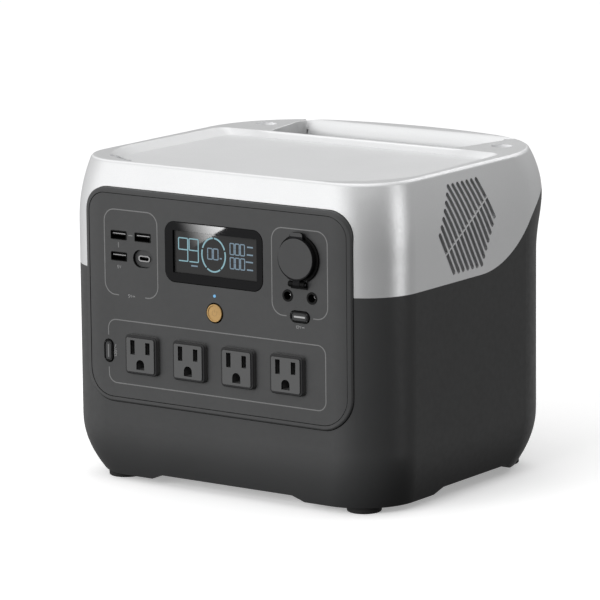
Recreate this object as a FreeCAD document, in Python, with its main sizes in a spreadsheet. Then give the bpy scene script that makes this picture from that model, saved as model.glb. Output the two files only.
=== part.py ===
import FreeCAD, Part
import math
import operator
import os
import types
import Sketcher
from FreeCAD import Placement, Rotation, Vector

# Portable power station, millimetres. X is to the right, Y to the rear, Z up.
# The origin is under the middle of the case, at the level of the soles of the feet.

doc = FreeCAD.newDocument("PowerStation")

# ---------------------------------------------------------------- driving dimensions

DIMENSIONS = {
    # the moulded case
    "case_half_width": 135.0,
    "case_front": 123.5,             # front wall in front of the origin
    "case_top": 224.0,
    "case_bottom": 8.5,              # underside between the corner pads
    "pad_bottom": 4.5,               # underside of the corner pads
    "wall": 2.5,
    "front_corner": 39.5,            # plan radius of the two front corners
    "undercut_start": 43.0,          # the walls curve in below this height
    "undercut_depth": 10.5,          # how far in they are at the corner pads
    "shoulder_start": 180.0,         # the walls lean in above this height
    "shoulder_inset": 6.6,
    "rear_low": 103.0,               # rear wall behind the origin, low down
    "rear_low_corner": 47.0,
    "rear_low_bow": 900.0,
    "overhang_start": 154.0,         # the rear wall sweeps out to the grip above this height
    "overhang_end": 195.0,
    "rear_grip": 130.0,
    "rear_grip_corner": 65.0,
    "rear_grip_bow": 300.0,
    "rear_top": 127.5,
    "rear_top_corner": 80.0,
    "seam": 149.5,                   # where the top shell meets the lower shell
    "seam_rise_start": -4.5,
    "seam_first_bend": 81.0,
    "seam_rise_angle": 48.0,
    "seam_second_bend": 72.0,
    # tray in the top
    "tray_depth": 4.3,
    "tray_half_width": 124.5,
    "tray_front": 115.5,
    "tray_corner": 60.0,
    "tray_slope": 10.0,
    "tray_rear": 50.2,
    "tray_rear_side": 46.5,
    "rim_rounding": 3.0,             # the crest where the walls meet the top
    "tray_rounding": 0.4,            # the edges of the tray and of the hand well
    "dimple_width": 15.0,
    "dimple_depth": 2.0,             # in the flat deck at the rear
    "dimple_depth_front": 5.2,       # in the slope of the tray at the front
    # rubber feet, and the dimples that take the feet of a second unit
    "foot_across": 100.0,
    "foot_front": 95.0,
    "foot_rear": 76.0,
    "foot_width": 23.6,
    "foot_socket": 1.5,              # how far the feet are let into the corner pads
    # hand well behind the tray
    "well_front": 50.2,
    "well_rear": 105.5,
    "well_front_half": 78.0,
    "well_rear_half": 88.5,
    "well_floor": 166.0,
    "grip_underside": 197.0,
    "grip_rounding": 11.0,           # how the grip rolls over into the hand well
    "scoop_top": 200.0,
    # front control panel
    "panel_plane": 125.0,            # face of the panel in front of the origin
    "frame_width": 220.0,
    "frame_height": 148.0,
    "frame_middle": 132.5,           # height of the panel's middle
    "frame_rim": 3.3,
    "frame_top_corner": 18.0,
    "frame_bottom_corner": 23.0,
    "frame_gap": 0.45,               # open groove between the frame and the panel
    "frame_proud_edge": 1.6,         # rounding of the frame's outer edge
    "panel_thickness": 3.0,
    "lens_width": 81.4,
    "lens_height": 41.8,
    "lens_corner": 8.0,
    "lens_middle": 167.5,
    "lens_column": -0.4,
    "power_button": 12.3,
    "power_gap": 0.9,                # clear ring round the main button
    "power_height": 128.8,
    "light_height": 140.4,
    "pill_length": 15.6,
    "pill_width": 7.6,
    "pill_face_length": 11.9,        # raised face inside the groove of an oval button
    "pill_face_width": 4.5,
    "dc_column": 69.9,
    "dc_button_height": 133.4,
    "ac_button_column": 90.2,
    "ac_row": 93.6,
    "button_proud": 0.6,
    "button_depth": 6.0,
    "usb_outer_column": 80.2,
    "usb_inner_column": 59.8,
    "usb_upper_row": 174.5,
    "usb_lower_row": 159.8,
    "jack_offset": 9.8,
    "jack_height": 146.9,
    "car_height": 172.6,
    "car_bore": 21.4,
    "car_ring": 32.4,
    "car_depth": 46.0,
    "cover_width": 28.3,
    "cover_pivot_height": 155.9,
    "cover_pivot_proud": 2.4,
    # mains outlets
    "outlet_pitch": 40.3,
    "outlet_height": 93.7,
    "outlet_width": 23.4,
    "outlet_tall": 23.6,
    "outlet_margin": 1.7,            # how far the base stands out round the raised face
    "outlet_base_proud": 3.1,
    "outlet_proud": 3.9,
    "blade_spacing": 12.7,
    "blade_row": 5.25,               # blade slots above the outlet's middle
    "blade_slot": 3.7,
    "neutral_slot": 9.9,
    "live_slot": 8.3,
    "ground_row": -6.3,
    "ground_width": 6.7,
    "ground_foot": 3.55,             # flat bottom of the ground hole under its round top
    # vent slots in both sides
    "vent_middle": -21.5,
    "vent_height": 185.2,
    "vent_pitch": 4.9,
    "vent_slot": 3.3,
    "vent_longest": 70.8,
    "vent_shortening": 5.9,
    "vent_slant": 31.3,
    "vent_rib": 0.9,
    # fans behind the vents
    "fan_size": 60.0,
    "fan_depth": 15.0,
    "fan_bore": 56.0,
    "fan_outer_face": 125.5,
    # battery and boards
    "cell_thickness": 26.5,
    "cell_length": 148.0,
    "cell_height": 91.0,
    "cell_gap": 0.8,
    "battery_middle": -13.0,
    "board_height": 150.0,
    "board_thickness": 1.6,
    # rear inputs
    "rear_panel_width": 92.0,
    "rear_panel_height": 44.0,
    "rear_panel_middle": 80.0,
    "rear_panel_recess": 3.0,
    # screws that hold the two shells together
    "screw_across": 52.0,
    "screw_front": 88.0,
    "screw_rear": 78.0,
    "screw_hole": 3.1,
}

sheet = doc.addObject("Spreadsheet::Sheet", "Dimensions")
for row, (alias, number) in enumerate(DIMENSIONS.items(), start=1):
    sheet.set(f"A{row}", alias)
    sheet.set(f"B{row}", str(number))
    sheet.setAlias(f"B{row}", alias)
doc.recompute()


class Size:
    """A length, with the sheet expression that drives it."""

    def __init__(self, number, text):
        self.number = number
        self.text = text

    def __add__(self, other):
        return combine(self, "+", other)

    def __radd__(self, other):
        return combine(other, "+", self)

    def __sub__(self, other):
        return combine(self, "-", other)

    def __rsub__(self, other):
        return combine(other, "-", self)

    def __mul__(self, other):
        return combine(self, "*", other)

    def __rmul__(self, other):
        return combine(other, "*", self)

    def __truediv__(self, other):
        return combine(self, "/", other)

    def __neg__(self):
        return combine(0.0, "-", self)


ARITHMETIC = {"+": operator.add, "-": operator.sub, "*": operator.mul, "/": operator.truediv}


def as_size(value):
    """A plain number as a Size; a Size as it is."""
    return value if isinstance(value, Size) else Size(float(value), repr(float(value)))


def combine(left, sign, right):
    """Two sizes joined by an arithmetic sign, in number and in expression."""
    left = as_size(left)
    right = as_size(right)
    return Size(ARITHMETIC[sign](left.number, right.number), f"({left.text} {sign} {right.text})")


dim = types.SimpleNamespace(
    **{alias: Size(float(sheet.get(alias)), f"Dimensions.{alias}") for alias in DIMENSIONS}
)

UPRIGHT = Rotation()
FRONT = Rotation(Vector(1, 0, 0), 90)                       # local Z points to the front
REAR = Rotation(Vector(0, 0, 1), 180).multiply(FRONT)       # local Z points to the rear
RIGHT = Rotation(Vector(0, 0, 1), 90).multiply(FRONT)       # local Z points to the right
LEFT = Rotation(Vector(0, 0, 1), -90).multiply(FRONT)       # local Z points to the left
SIDES = {"left": (-1, LEFT), "right": (1, RIGHT)}

# ---------------------------------------------------------------- bodies built from sketches

parts = []


def new_body(label):
    """An empty body that becomes the sub-part of that name."""
    body = doc.addObject("PartDesign::Body", label)
    body.Label = label
    parts.append(body)
    return body


def origin_feature(body, role):
    """One of the body's own origin planes or axes."""
    return next(item for item in body.Origin.OriginFeatures if item.Role == role)


def sketch_at(body, height, role="XY_Plane"):
    """A sketch on one of the body's origin planes, raised by a height."""
    sketch = body.newObject("Sketcher::SketchObject", "Sketch")
    sketch.AttachmentSupport = (origin_feature(body, role), [""])
    sketch.MapMode = "FlatFace"
    sketch.setExpression("AttachmentOffset.Base.z", as_size(height).text)
    return sketch


def drive(sketch, kind, references, value):
    """A constraint whose value comes from the sheet."""
    value = as_size(value)
    index = sketch.addConstraint(Sketcher.Constraint(kind, *references, value.number))
    sketch.setExpression(f"Constraints[{index}]", value.text)


def pin_point(sketch, item, point, x, y):
    """Hold a point at signed distances x and y from the sketch's origin."""
    for kind, axis, value in (("DistanceX", -2, as_size(x)), ("DistanceY", -1, as_size(y))):
        if abs(value.number) < 1e-9:
            sketch.addConstraint(Sketcher.Constraint("PointOnObject", item, point, axis))
        elif value.number > 0:
            drive(sketch, kind, (-1, 1, item, point), value)
        else:
            drive(sketch, kind, (item, point, -1, 1), -value)


def circle(x, y, diameter):
    """A drawer of a circle."""
    def draw(sketch):
        centre = Vector(as_size(x).number, as_size(y).number, 0)
        item = sketch.addGeometry(Part.Circle(centre, Vector(0, 0, 1), as_size(diameter).number / 2))
        pin_point(sketch, item, 3, x, y)
        drive(sketch, "Diameter", (item,), diameter)
    return draw


def rectangle(x, y, width, height):
    """A drawer of a square-cornered rectangle about the point x, y."""
    def draw(sketch):
        cx, cy = as_size(x).number, as_size(y).number
        dx, dy = as_size(width).number / 2, as_size(height).number / 2
        corners = [Vector(cx - dx, cy - dy), Vector(cx + dx, cy - dy),
                   Vector(cx + dx, cy + dy), Vector(cx - dx, cy + dy)]
        lines = [sketch.addGeometry(Part.LineSegment(corners[i], corners[(i + 1) % 4]))
                 for i in range(4)]
        middle = sketch.addGeometry(Part.Point(Vector(cx, cy, 0)), True)
        for i in range(4):
            sketch.addConstraint(
                Sketcher.Constraint("Coincident", lines[i], 2, lines[(i + 1) % 4], 1))
            sketch.addConstraint(
                Sketcher.Constraint("Horizontal" if i % 2 == 0 else "Vertical", lines[i]))
        drive(sketch, "DistanceX", (lines[0], 1, lines[0], 2), width)
        drive(sketch, "DistanceY", (lines[1], 1, lines[1], 2), height)
        sketch.addConstraint(
            Sketcher.Constraint("Symmetric", lines[0], 1, lines[2], 1, middle, 1))
        pin_point(sketch, middle, 1, x, y)
    return draw


def rounded(x, y, width, height, radius):
    """A drawer of a rectangle with round corners about the point x, y."""
    def draw(sketch):
        cx, cy = as_size(x).number, as_size(y).number
        r = as_size(radius).number
        dx = as_size(width).number / 2 - r
        dy = as_size(height).number / 2 - r
        quarter = math.pi / 2
        arcs = []
        for turn, (sx, sy) in enumerate(((-1, -1), (1, -1), (1, 1), (-1, 1)), start=2):
            ring = Part.Circle(Vector(cx + sx * dx, cy + sy * dy, 0), Vector(0, 0, 1), r)
            arcs.append(sketch.addGeometry(
                Part.ArcOfCircle(ring, turn * quarter, (turn + 1) * quarter)))
        lines = []
        for i in range(4):
            start = sketch.getPoint(arcs[i], 2)
            end = sketch.getPoint(arcs[(i + 1) % 4], 1)
            lines.append(sketch.addGeometry(Part.LineSegment(start, end)))
        middle = sketch.addGeometry(Part.Point(Vector(cx, cy, 0)), True)
        for i in range(4):
            sketch.addConstraint(Sketcher.Constraint("Tangent", arcs[i], 2, lines[i], 1))
            sketch.addConstraint(
                Sketcher.Constraint("Tangent", lines[i], 2, arcs[(i + 1) % 4], 1))
            sketch.addConstraint(
                Sketcher.Constraint("Horizontal" if i % 2 == 0 else "Vertical", lines[i]))
        for i in range(1, 4):
            sketch.addConstraint(Sketcher.Constraint("Equal", arcs[0], arcs[i]))
        drive(sketch, "Radius", (arcs[0],), radius)
        drive(sketch, "DistanceX", (lines[3], 1, lines[1], 1), width)
        drive(sketch, "DistanceY", (lines[0], 1, lines[2], 1), height)
        sketch.addConstraint(
            Sketcher.Constraint("Symmetric", arcs[0], 3, arcs[2], 3, middle, 1))
        pin_point(sketch, middle, 1, x, y)
    return draw


def grow(body, height, *outlines, bottom=0.0):
    """Add material over the outlines, upwards from a level."""
    sketch = sketch_at(body, bottom)
    for draw in outlines:
        draw(sketch)
    feature = body.newObject("PartDesign::Pad", "Pad")
    feature.Profile = sketch
    feature.setExpression("Length", as_size(height).text)
    return feature


def sink(body, depth, *outlines, top):
    """Take material away inside the outlines, downwards from a level."""
    sketch = sketch_at(body, top)
    for draw in outlines:
        draw(sketch)
    feature = body.newObject("PartDesign::Pocket", "Pocket")
    feature.Profile = sketch
    feature.setExpression("Length", as_size(depth).text)
    return feature


def repeat_along(body, feature, role, spacing, count):
    """Repeat a feature in a row along one of the body's axes."""
    pattern = body.newObject("PartDesign::LinearPattern", "LinearPattern")
    pattern.Originals = [feature]
    pattern.Direction = (origin_feature(body, role), [""])
    pattern.Occurrences = count
    pattern.setExpression("Length", (as_size(spacing) * (count - 1)).text)
    body.Tip = pattern


def repeat_around(body, feature, count):
    """Repeat a feature in a ring about the body's Z axis."""
    pattern = body.newObject("PartDesign::PolarPattern", "PolarPattern")
    pattern.Originals = [feature]
    pattern.Axis = (origin_feature(body, "Z_Axis"), [""])
    pattern.Angle = 360
    pattern.Occurrences = count
    body.Tip = pattern


def soften(body, radius, level):
    """Round every edge that lies at one level of the body."""
    doc.recompute()
    level = as_size(level).number
    base = body.Tip
    names = [f"Edge{i}" for i, edge in enumerate(base.Shape.Edges, start=1)
             if all(abs(vertex.Z - level) < 1e-4 for vertex in edge.Vertexes)]
    feature = body.newObject("PartDesign::Fillet", "Fillet")
    feature.Base = (base, names)
    feature.setExpression("Radius", as_size(radius).text)


def put(item, x, y, z, turn=UPRIGHT):
    """Place a sub-part in the case, its place driven by the sheet."""
    place = [as_size(x), as_size(y), as_size(z)]
    item.Placement = Placement(Vector(*[value.number for value in place]), turn)
    for letter, value in zip("xyz", place):
        item.setExpression(f"Placement.Base.{letter}", value.text)


def put_on_panel(item, x, z):
    """Place a sub-part at the panel's face, its local Z pointing out of the panel."""
    put(item, x, -dim.panel_plane, z, FRONT)


# ---------------------------------------------------------------- the case's outer form


def smooth(t):
    """Goes from 0 to 1 with no slope at either end."""
    t = min(1.0, max(0.0, t))
    return t * t * (3 - 2 * t)


def side_inset(z):
    """How far the front and the sides are inside their full size at a height."""
    low = dim.undercut_start.number
    if z < low:
        share = (low - z) / (low - dim.pad_bottom.number)
        return dim.undercut_depth.number * share ** 2
    high = dim.shoulder_start.number
    if z > high:
        share = (z - high) / (dim.case_top.number - high)
        return dim.shoulder_inset.number * share ** 2
    return 0.0


def rear_shape(z):
    """Where the rear wall is at a height: its middle, its bow radius and its corner radius."""
    sweep = smooth((z - dim.overhang_start.number)
                   / (dim.overhang_end.number - dim.overhang_start.number))
    middle = dim.rear_low.number + sweep * (dim.rear_grip.number - dim.rear_low.number)
    bend = 1 / dim.rear_low_bow.number
    bend += sweep * (1 / dim.rear_grip_bow.number - bend)
    corner = dim.rear_low_corner.number
    corner += sweep * (dim.rear_grip_corner.number - corner)
    above = max(0.0, (z - dim.overhang_end.number)
                / (dim.case_top.number - dim.overhang_end.number)) ** 2
    middle += above * (dim.rear_top.number - dim.rear_grip.number)
    corner += above * (dim.rear_top_corner.number - dim.rear_grip_corner.number)
    if z < dim.undercut_start.number:
        middle -= side_inset(z)
    return middle, 1 / bend, corner


def case_section(z, inset):
    """The plan outline of the case at a height, moved inwards by an inset."""
    half = dim.case_half_width.number - side_inset(z) - inset
    front = -dim.case_front.number + side_inset(z) + inset
    corner = dim.front_corner.number - inset
    rear, bow, rear_corner = rear_shape(z)
    rear -= inset
    bow -= inset
    rear_corner -= inset
    bow_centre = rear - bow
    along = half - rear_corner
    rear_centre = bow_centre + math.sqrt((bow - rear_corner) ** 2 - along ** 2)
    turn = math.atan2(rear_centre - bow_centre, along)
    joint = Vector(bow * math.cos(turn), bow_centre + bow * math.sin(turn), z)
    elbow = turn / 2
    bend = Vector(along + rear_corner * math.cos(elbow),
                  rear_centre + rear_corner * math.sin(elbow), z)
    diagonal = corner * (1 - math.sqrt(0.5))

    def mirrored(point):
        return Vector(-point.x, point.y, point.z)

    front_end = Vector(half - corner, front, z)
    front_bend = Vector(half - diagonal, front + diagonal, z)
    side_start = Vector(half, front + corner, z)
    side_end = Vector(half, rear_centre, z)
    return Part.Wire([
        Part.makeLine(mirrored(front_end), front_end),
        Part.Arc(front_end, front_bend, side_start).toShape(),
        Part.makeLine(side_start, side_end),
        Part.Arc(side_end, bend, joint).toShape(),
        Part.Arc(joint, Vector(0, rear, z), mirrored(joint)).toShape(),
        Part.Arc(mirrored(joint), mirrored(bend), mirrored(side_end)).toShape(),
        Part.makeLine(mirrored(side_end), mirrored(side_start)),
        Part.Arc(mirrored(side_start), mirrored(front_bend), mirrored(front_end)).toShape(),
    ])


def levels(start, end, count):
    """Evenly spaced heights from start to end."""
    return [start + (end - start) * i / (count - 1) for i in range(count)]


def case_form(bottom, top, inset):
    """The solid inside the case's walls between two heights, moved inwards by an inset."""
    low = dim.undercut_start.number
    middle = dim.overhang_start.number
    foot_part = Part.makeLoft([case_section(z, inset) for z in levels(bottom, low, 7)], True)
    straight = Part.Face(case_section(low, inset)).extrude(Vector(0, 0, middle - low))
    shoulder = Part.makeLoft([case_section(z, inset) for z in levels(middle, top, 15)], True)
    return foot_part.fuse([straight, shoulder]).removeSplitter()


def outline(points, z):
    """A closed outline through corner points given as (x, y, radius), at a height."""
    corners = [Vector(x, y, z) for x, y, _ in points]
    edges = []
    ends = []
    for i, (_, _, radius) in enumerate(points):
        here = corners[i]
        before = (corners[i - 1] - here).normalize()
        after = (corners[(i + 1) % len(corners)] - here).normalize()
        half_angle = before.getAngle(after) / 2
        reach = radius / math.tan(half_angle)
        first = here + before * reach
        last = here + after * reach
        inward = (before + after).normalize()
        middle = here + inward * (radius / math.sin(half_angle) - radius)
        ends.append((first, middle, last))
    for i, (first, middle, last) in enumerate(ends):
        if points[i][2] > 0:
            edges.append(Part.Arc(first, middle, last).toShape())
        edges.append(Part.makeLine(last, ends[(i + 1) % len(ends)][0]))
    return Part.Wire(edges)


def prism(points, bottom, top):
    """A straight solid over an outline."""
    return Part.Face(outline(points, bottom)).extrude(Vector(0, 0, top - bottom))


def mirrored_outline(points):
    """Corner points of the right half, from front to rear, continued over the left half."""
    return points + [(-x, y, radius) for x, y, radius in reversed(points)]


def made(label, shape):
    """A sub-part whose shape is already in its place in the case."""
    item = doc.addObject("Part::Feature", label)
    item.Label = label
    item.Shape = shape
    item.Placement = Placement()
    parts.append(item)
    return item


def frame_prism(growth, front, rear):
    """A solid over the control panel's outline, between two distances in front of the origin."""
    half = dim.frame_width.number / 2 + growth
    tall = dim.frame_height.number / 2 + growth
    middle = dim.frame_middle.number
    low = dim.frame_bottom_corner.number + growth
    high = dim.frame_top_corner.number + growth
    corners = [(half, middle - tall, low), (half, middle + tall, high),
               (-half, middle + tall, high), (-half, middle - tall, low)]
    solid = prism(corners, 0, front - rear)
    solid.Placement = Placement(Vector(0, -rear, 0), FRONT)
    return solid


def plan_wrap(proud):
    """A tall solid with the plan of the case's front, standing proud of it."""
    half = dim.case_half_width.number + proud
    front = -dim.case_front.number - proud
    corner = dim.front_corner.number + proud
    rim = mirrored_outline([(half, front, corner), (half, 0.0, 0.0)])
    return prism(rim, 0, dim.case_top.number)


def well_prism(growth, bottom, top, rear_corner=None):
    """The hand well's plan between two heights, made larger by a growth.

    With no rear corner radius the plan carries on to the rear, through the case's wall.
    """
    rear_half = dim.well_rear_half.number + growth
    points = [(dim.well_front_half.number + growth, dim.well_front.number - growth, 6.0 + growth)]
    if rear_corner is None:
        points.append((rear_half, dim.well_rear.number, 0.0))
        points.append((rear_half, 160.0, 0.0))
    else:
        points.append((rear_half, dim.well_rear.number + growth, rear_corner + growth))
    return prism(mirrored_outline(points), bottom, top)


def seam_region():
    """Everything above the seam, which sweeps up to the grip at the rear of both sides."""
    far = 300.0
    low = dim.seam.number
    start = dim.seam_rise_start.number
    angle = math.radians(dim.seam_rise_angle.number)
    first = dim.seam_first_bend.number
    second = dim.seam_second_bend.number

    def on_first(turn):
        return Vector(0, start + first * math.sin(turn), low + first * (1 - math.cos(turn)))

    meeting = on_first(angle)
    end = Vector(0, meeting.y + second * math.sin(angle), meeting.z + second * (1 - math.cos(angle)))

    def on_second(turn):
        return end - Vector(0, second * math.sin(turn), second * (1 - math.cos(turn)))

    edges = [
        Part.makeLine(Vector(0, -far, low), Vector(0, start, low)),
        Part.Arc(Vector(0, start, low), on_first(angle / 2), meeting).toShape(),
        Part.Arc(meeting, on_second(angle / 2), end).toShape(),
        Part.makeLine(end, Vector(0, far, end.z)),
        Part.makeLine(Vector(0, far, end.z), Vector(0, far, far)),
        Part.makeLine(Vector(0, far, far), Vector(0, -far, far)),
        Part.makeLine(Vector(0, -far, far), Vector(0, -far, low)),
    ]
    region = Part.Face(Part.Wire(edges)).extrude(Vector(2 * far, 0, 0))
    region.translate(Vector(-far, 0, 0))
    return region


def vent_cutter():
    """The slanted vent slots of both sides, each broken by a rib across its middle."""
    middle = Vector(0, dim.vent_middle.number, dim.vent_height.number)
    slant = math.radians(dim.vent_slant.number)
    along = Vector(0, -math.sin(slant), math.cos(slant))
    across = Vector(0, math.cos(slant), math.sin(slant))
    width = dim.vent_slot.number
    reach = 2 * dim.case_half_width.number + 20
    slots = []
    for k in range(-6, 7):
        half = (dim.vent_longest.number - dim.vent_shortening.number * abs(k)) / 2 - width / 2
        centre = middle + across * (k * dim.vent_pitch.number)
        for end in (-1, 1):
            tip = centre + along * (end * half)
            root = centre + along * (end * dim.vent_rib.number / 2)
            side = across * (width / 2)
            edges = [
                Part.makeLine(root - side, tip - side),
                Part.Arc(tip - side, tip + along * (end * width / 2), tip + side).toShape(),
                Part.makeLine(tip + side, root + side),
                Part.makeLine(root + side, root - side),
            ]
            slots.append(Part.Face(Part.Wire(edges)).extrude(Vector(reach, 0, 0)))
    cutter = Part.makeCompound(slots)
    cutter.translate(Vector(-reach / 2, 0, 0))
    keep_middle = Part.makeBox(200, 300, 300, Vector(-100, -150, 0))
    return cutter.cut(keep_middle)


def corner_places():
    """The four places of the feet, with the name of each."""
    return {
        "front_left": (-dim.foot_across, -dim.foot_front),
        "front_right": (dim.foot_across, -dim.foot_front),
        "rear_left": (-dim.foot_across, dim.foot_rear),
        "rear_right": (dim.foot_across, dim.foot_rear),
    }


def screw_places():
    """The four places of the case screws, between the corner pads."""
    return [(side * dim.screw_across, y) for side in (-1, 1)
            for y in (-dim.screw_front, dim.screw_rear)]


def level_edges(shape, level):
    """The edges of a shape that lie at one height."""
    return [edge for edge in shape.Edges
            if all(abs(vertex.Z - level) < 0.01 for vertex in edge.Vertexes)
            and edge.BoundBox.ZLength < 0.01]


def grip_roll():
    """What is cut away so that the grip rolls over into the hand well in one round."""
    top = dim.case_top.number
    roll = dim.grip_rounding.number
    rear = dim.well_rear.number
    half = dim.well_rear_half.number
    flare = (half - dim.well_front_half.number) / (rear - dim.well_front.number)
    points = [(half - 2.0 * flare, rear - 2.0, 0.0), (half + roll * flare, rear + roll, 0.0)]
    blank = prism(mirrored_outline(points), top - roll, top + 1.0)
    round_bar = Part.makeCylinder(roll, 4 * half, Vector(-2 * half, rear + roll, top - roll),
                                  Vector(1, 0, 0))
    return blank.cut(round_bar)


def case_shells():
    """The top shell, the lower shell and the pieces that line the hand well."""
    top = dim.case_top.number
    wall = dim.wall.number
    scoop_top = dim.scoop_top.number
    underside = dim.grip_underside.number
    floor_top = dim.case_bottom.number + wall + 1.0
    ceiling = top - dim.tray_depth.number - wall
    outer = case_form(dim.pad_bottom.number, top, 0.0)
    inner = case_form(floor_top, ceiling, wall)
    walls = outer.cut(inner)

    tray_points = [(dim.tray_half_width.number, -dim.tray_front.number, dim.tray_corner.number),
                   (dim.tray_half_width.number - 5.0, dim.tray_rear_side.number, 9.0),
                   (dim.well_front_half.number + 2.0, dim.tray_rear.number - 1.5, 12.0)]
    slope = dim.tray_slope.number
    floor_points = [(dim.tray_half_width.number - slope, slope - dim.tray_front.number,
                     dim.tray_corner.number - slope),
                    (dim.tray_half_width.number - 5.0 - slope, dim.tray_rear_side.number - 4.0, 7.0),
                    (dim.well_front_half.number - 1.0, dim.tray_rear.number - 4.0, 12.0)]
    floor_level = top - dim.tray_depth.number
    tray = Part.makeLoft([outline(mirrored_outline(floor_points), floor_level),
                          outline(mirrored_outline(tray_points), top + 0.01)], True, True)

    duct = well_prism(wall, scoop_top, ceiling + 1.0, 8.0)
    duct_void = well_prism(0.0, underside - 10.0, top + 5.0, 8.0)
    scoop_void = well_prism(0.0, dim.well_floor.number, scoop_top)
    fingers = [edge for edge in scoop_void.Edges
               if all(abs(vertex.Z - dim.well_floor.number) < 0.01 for vertex in edge.Vertexes)
               and edge.BoundBox.YMax < dim.well_rear.number]
    scoop_void = scoop_void.makeFillet(12.0, fingers)

    panel_hole = frame_prism(0.3, 160.0, 100.0)
    rear_hole = Part.makeBox(dim.rear_panel_width.number + 0.3, 40.0,
                             dim.rear_panel_height.number + 0.3,
                             Vector(-dim.rear_panel_width.number / 2 - 0.15, 90.0,
                                    dim.rear_panel_middle.number
                                    - dim.rear_panel_height.number / 2 - 0.15))
    region = seam_region()

    upper = walls.common(region).fuse(duct.common(outer)).removeSplitter()
    upper = upper.makeFillet(dim.rim_rounding.number, level_edges(upper, top))
    upper = upper.cut(duct_void).cut(tray).removeSplitter()
    upper = upper.makeFillet(dim.tray_rounding.number, level_edges(upper, top))
    dimples = []
    for x, y in corner_places().values():
        depth = dim.dimple_depth.number if y.number > 0 else dim.dimple_depth_front.number
        dimples.append(Part.makeCylinder(dim.dimple_width.number / 2, depth + 1.0,
                                         Vector(x.number, y.number, top - depth)))
    upper = upper.cut(dimples + [panel_hole, vent_cutter(), grip_roll()])
    made("top_shell", upper.removeSplitter())

    lower = walls.cut(region).cut([scoop_void, panel_hole, rear_hole])
    far = 200.0
    arch = dim.case_bottom.number
    pad = dim.pad_bottom.number - 0.5
    pad_hole = dim.foot_socket.number + 0.01
    for half, turn in ((64.0, 0), (48.0, 90)):
        ramp = [(half + 1.0, pad, 0.0), (half - 9.0, arch, 3.0)]
        channel = prism(mirrored_outline(ramp), -far, far)
        channel.Placement = Placement(Vector(0, 0, 0), Rotation(Vector(0, 0, 1), turn).multiply(FRONT))
        lower = lower.cut(channel)
    holes = [Part.makeCylinder(dim.foot_width.number / 2 + 0.1, pad_hole,
                               Vector(x.number, y.number, dim.pad_bottom.number - 0.01))
             for x, y in corner_places().values()]
    holes += [Part.makeCylinder(dim.screw_hole.number / 2, wall + 4.0,
                                Vector(x.number, y.number, arch - 1.0))
              for x, y in screw_places()]
    made("lower_shell", lower.cut(holes).removeSplitter())

    scoop = well_prism(wall, dim.well_floor.number - wall, scoop_top)
    scoop = scoop.cut(scoop_void).common(case_form(floor_top, ceiling, wall + 0.1))
    made("grip_scoop", scoop.removeSplitter())

    bar_box = Part.makeBox(2 * dim.well_rear_half.number - 0.4, 60.0, scoop_top - underside,
                           Vector(0.2 - dim.well_rear_half.number, dim.well_rear.number, underside))
    made("grip_underside", outer.common(bar_box).removeSplitter())


case_shells()

# ---------------------------------------------------------------- front frame and panel


def front_frame():
    """The dark ring round the panel, which follows the case's rounded front corners."""
    rim = dim.frame_rim.number
    face = dim.panel_plane.number
    ring = frame_prism(0.0, face + 5.0, 112.0)
    flange = frame_prism(3.0, 114.5, 112.0)
    ring = ring.common(plan_wrap(face - dim.case_front.number)).fuse(flange)
    ring = ring.cut([frame_prism(-rim, face + 6.0, face - 3.5),
                     frame_prism(-rim - 3.0, face, 110.0)])
    front_edges = [edge for edge in ring.Edges
                   if edge.BoundBox.YMax < -face + 3.2 and edge.BoundBox.XLength > 0.5
                   and edge_is_outer(edge)]
    made("front_frame", ring.makeFillet(dim.frame_proud_edge.number, front_edges))


def edge_is_outer(edge):
    """Whether an edge lies on the panel frame's outer outline."""
    half = dim.frame_width.number / 2 - dim.frame_rim.number / 2
    tall = dim.frame_height.number / 2 - dim.frame_rim.number / 2
    middle = dim.frame_middle.number
    box = edge.BoundBox
    corner = 6.0
    reach = max(abs(box.Center.x) - half, abs(box.Center.z - middle) - tall)
    at_corner = (abs(box.Center.x) > half - corner
                 and abs(box.Center.z - middle) > tall - corner)
    return reach > 0 or at_corner


front_frame()

panel_width = dim.frame_width - 2 * dim.frame_rim
panel_height = dim.frame_height - 2 * dim.frame_rim


outlet_base_width = dim.outlet_width + 2 * dim.outlet_margin
outlet_base_tall = dim.outlet_tall + 2 * dim.outlet_margin


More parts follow.
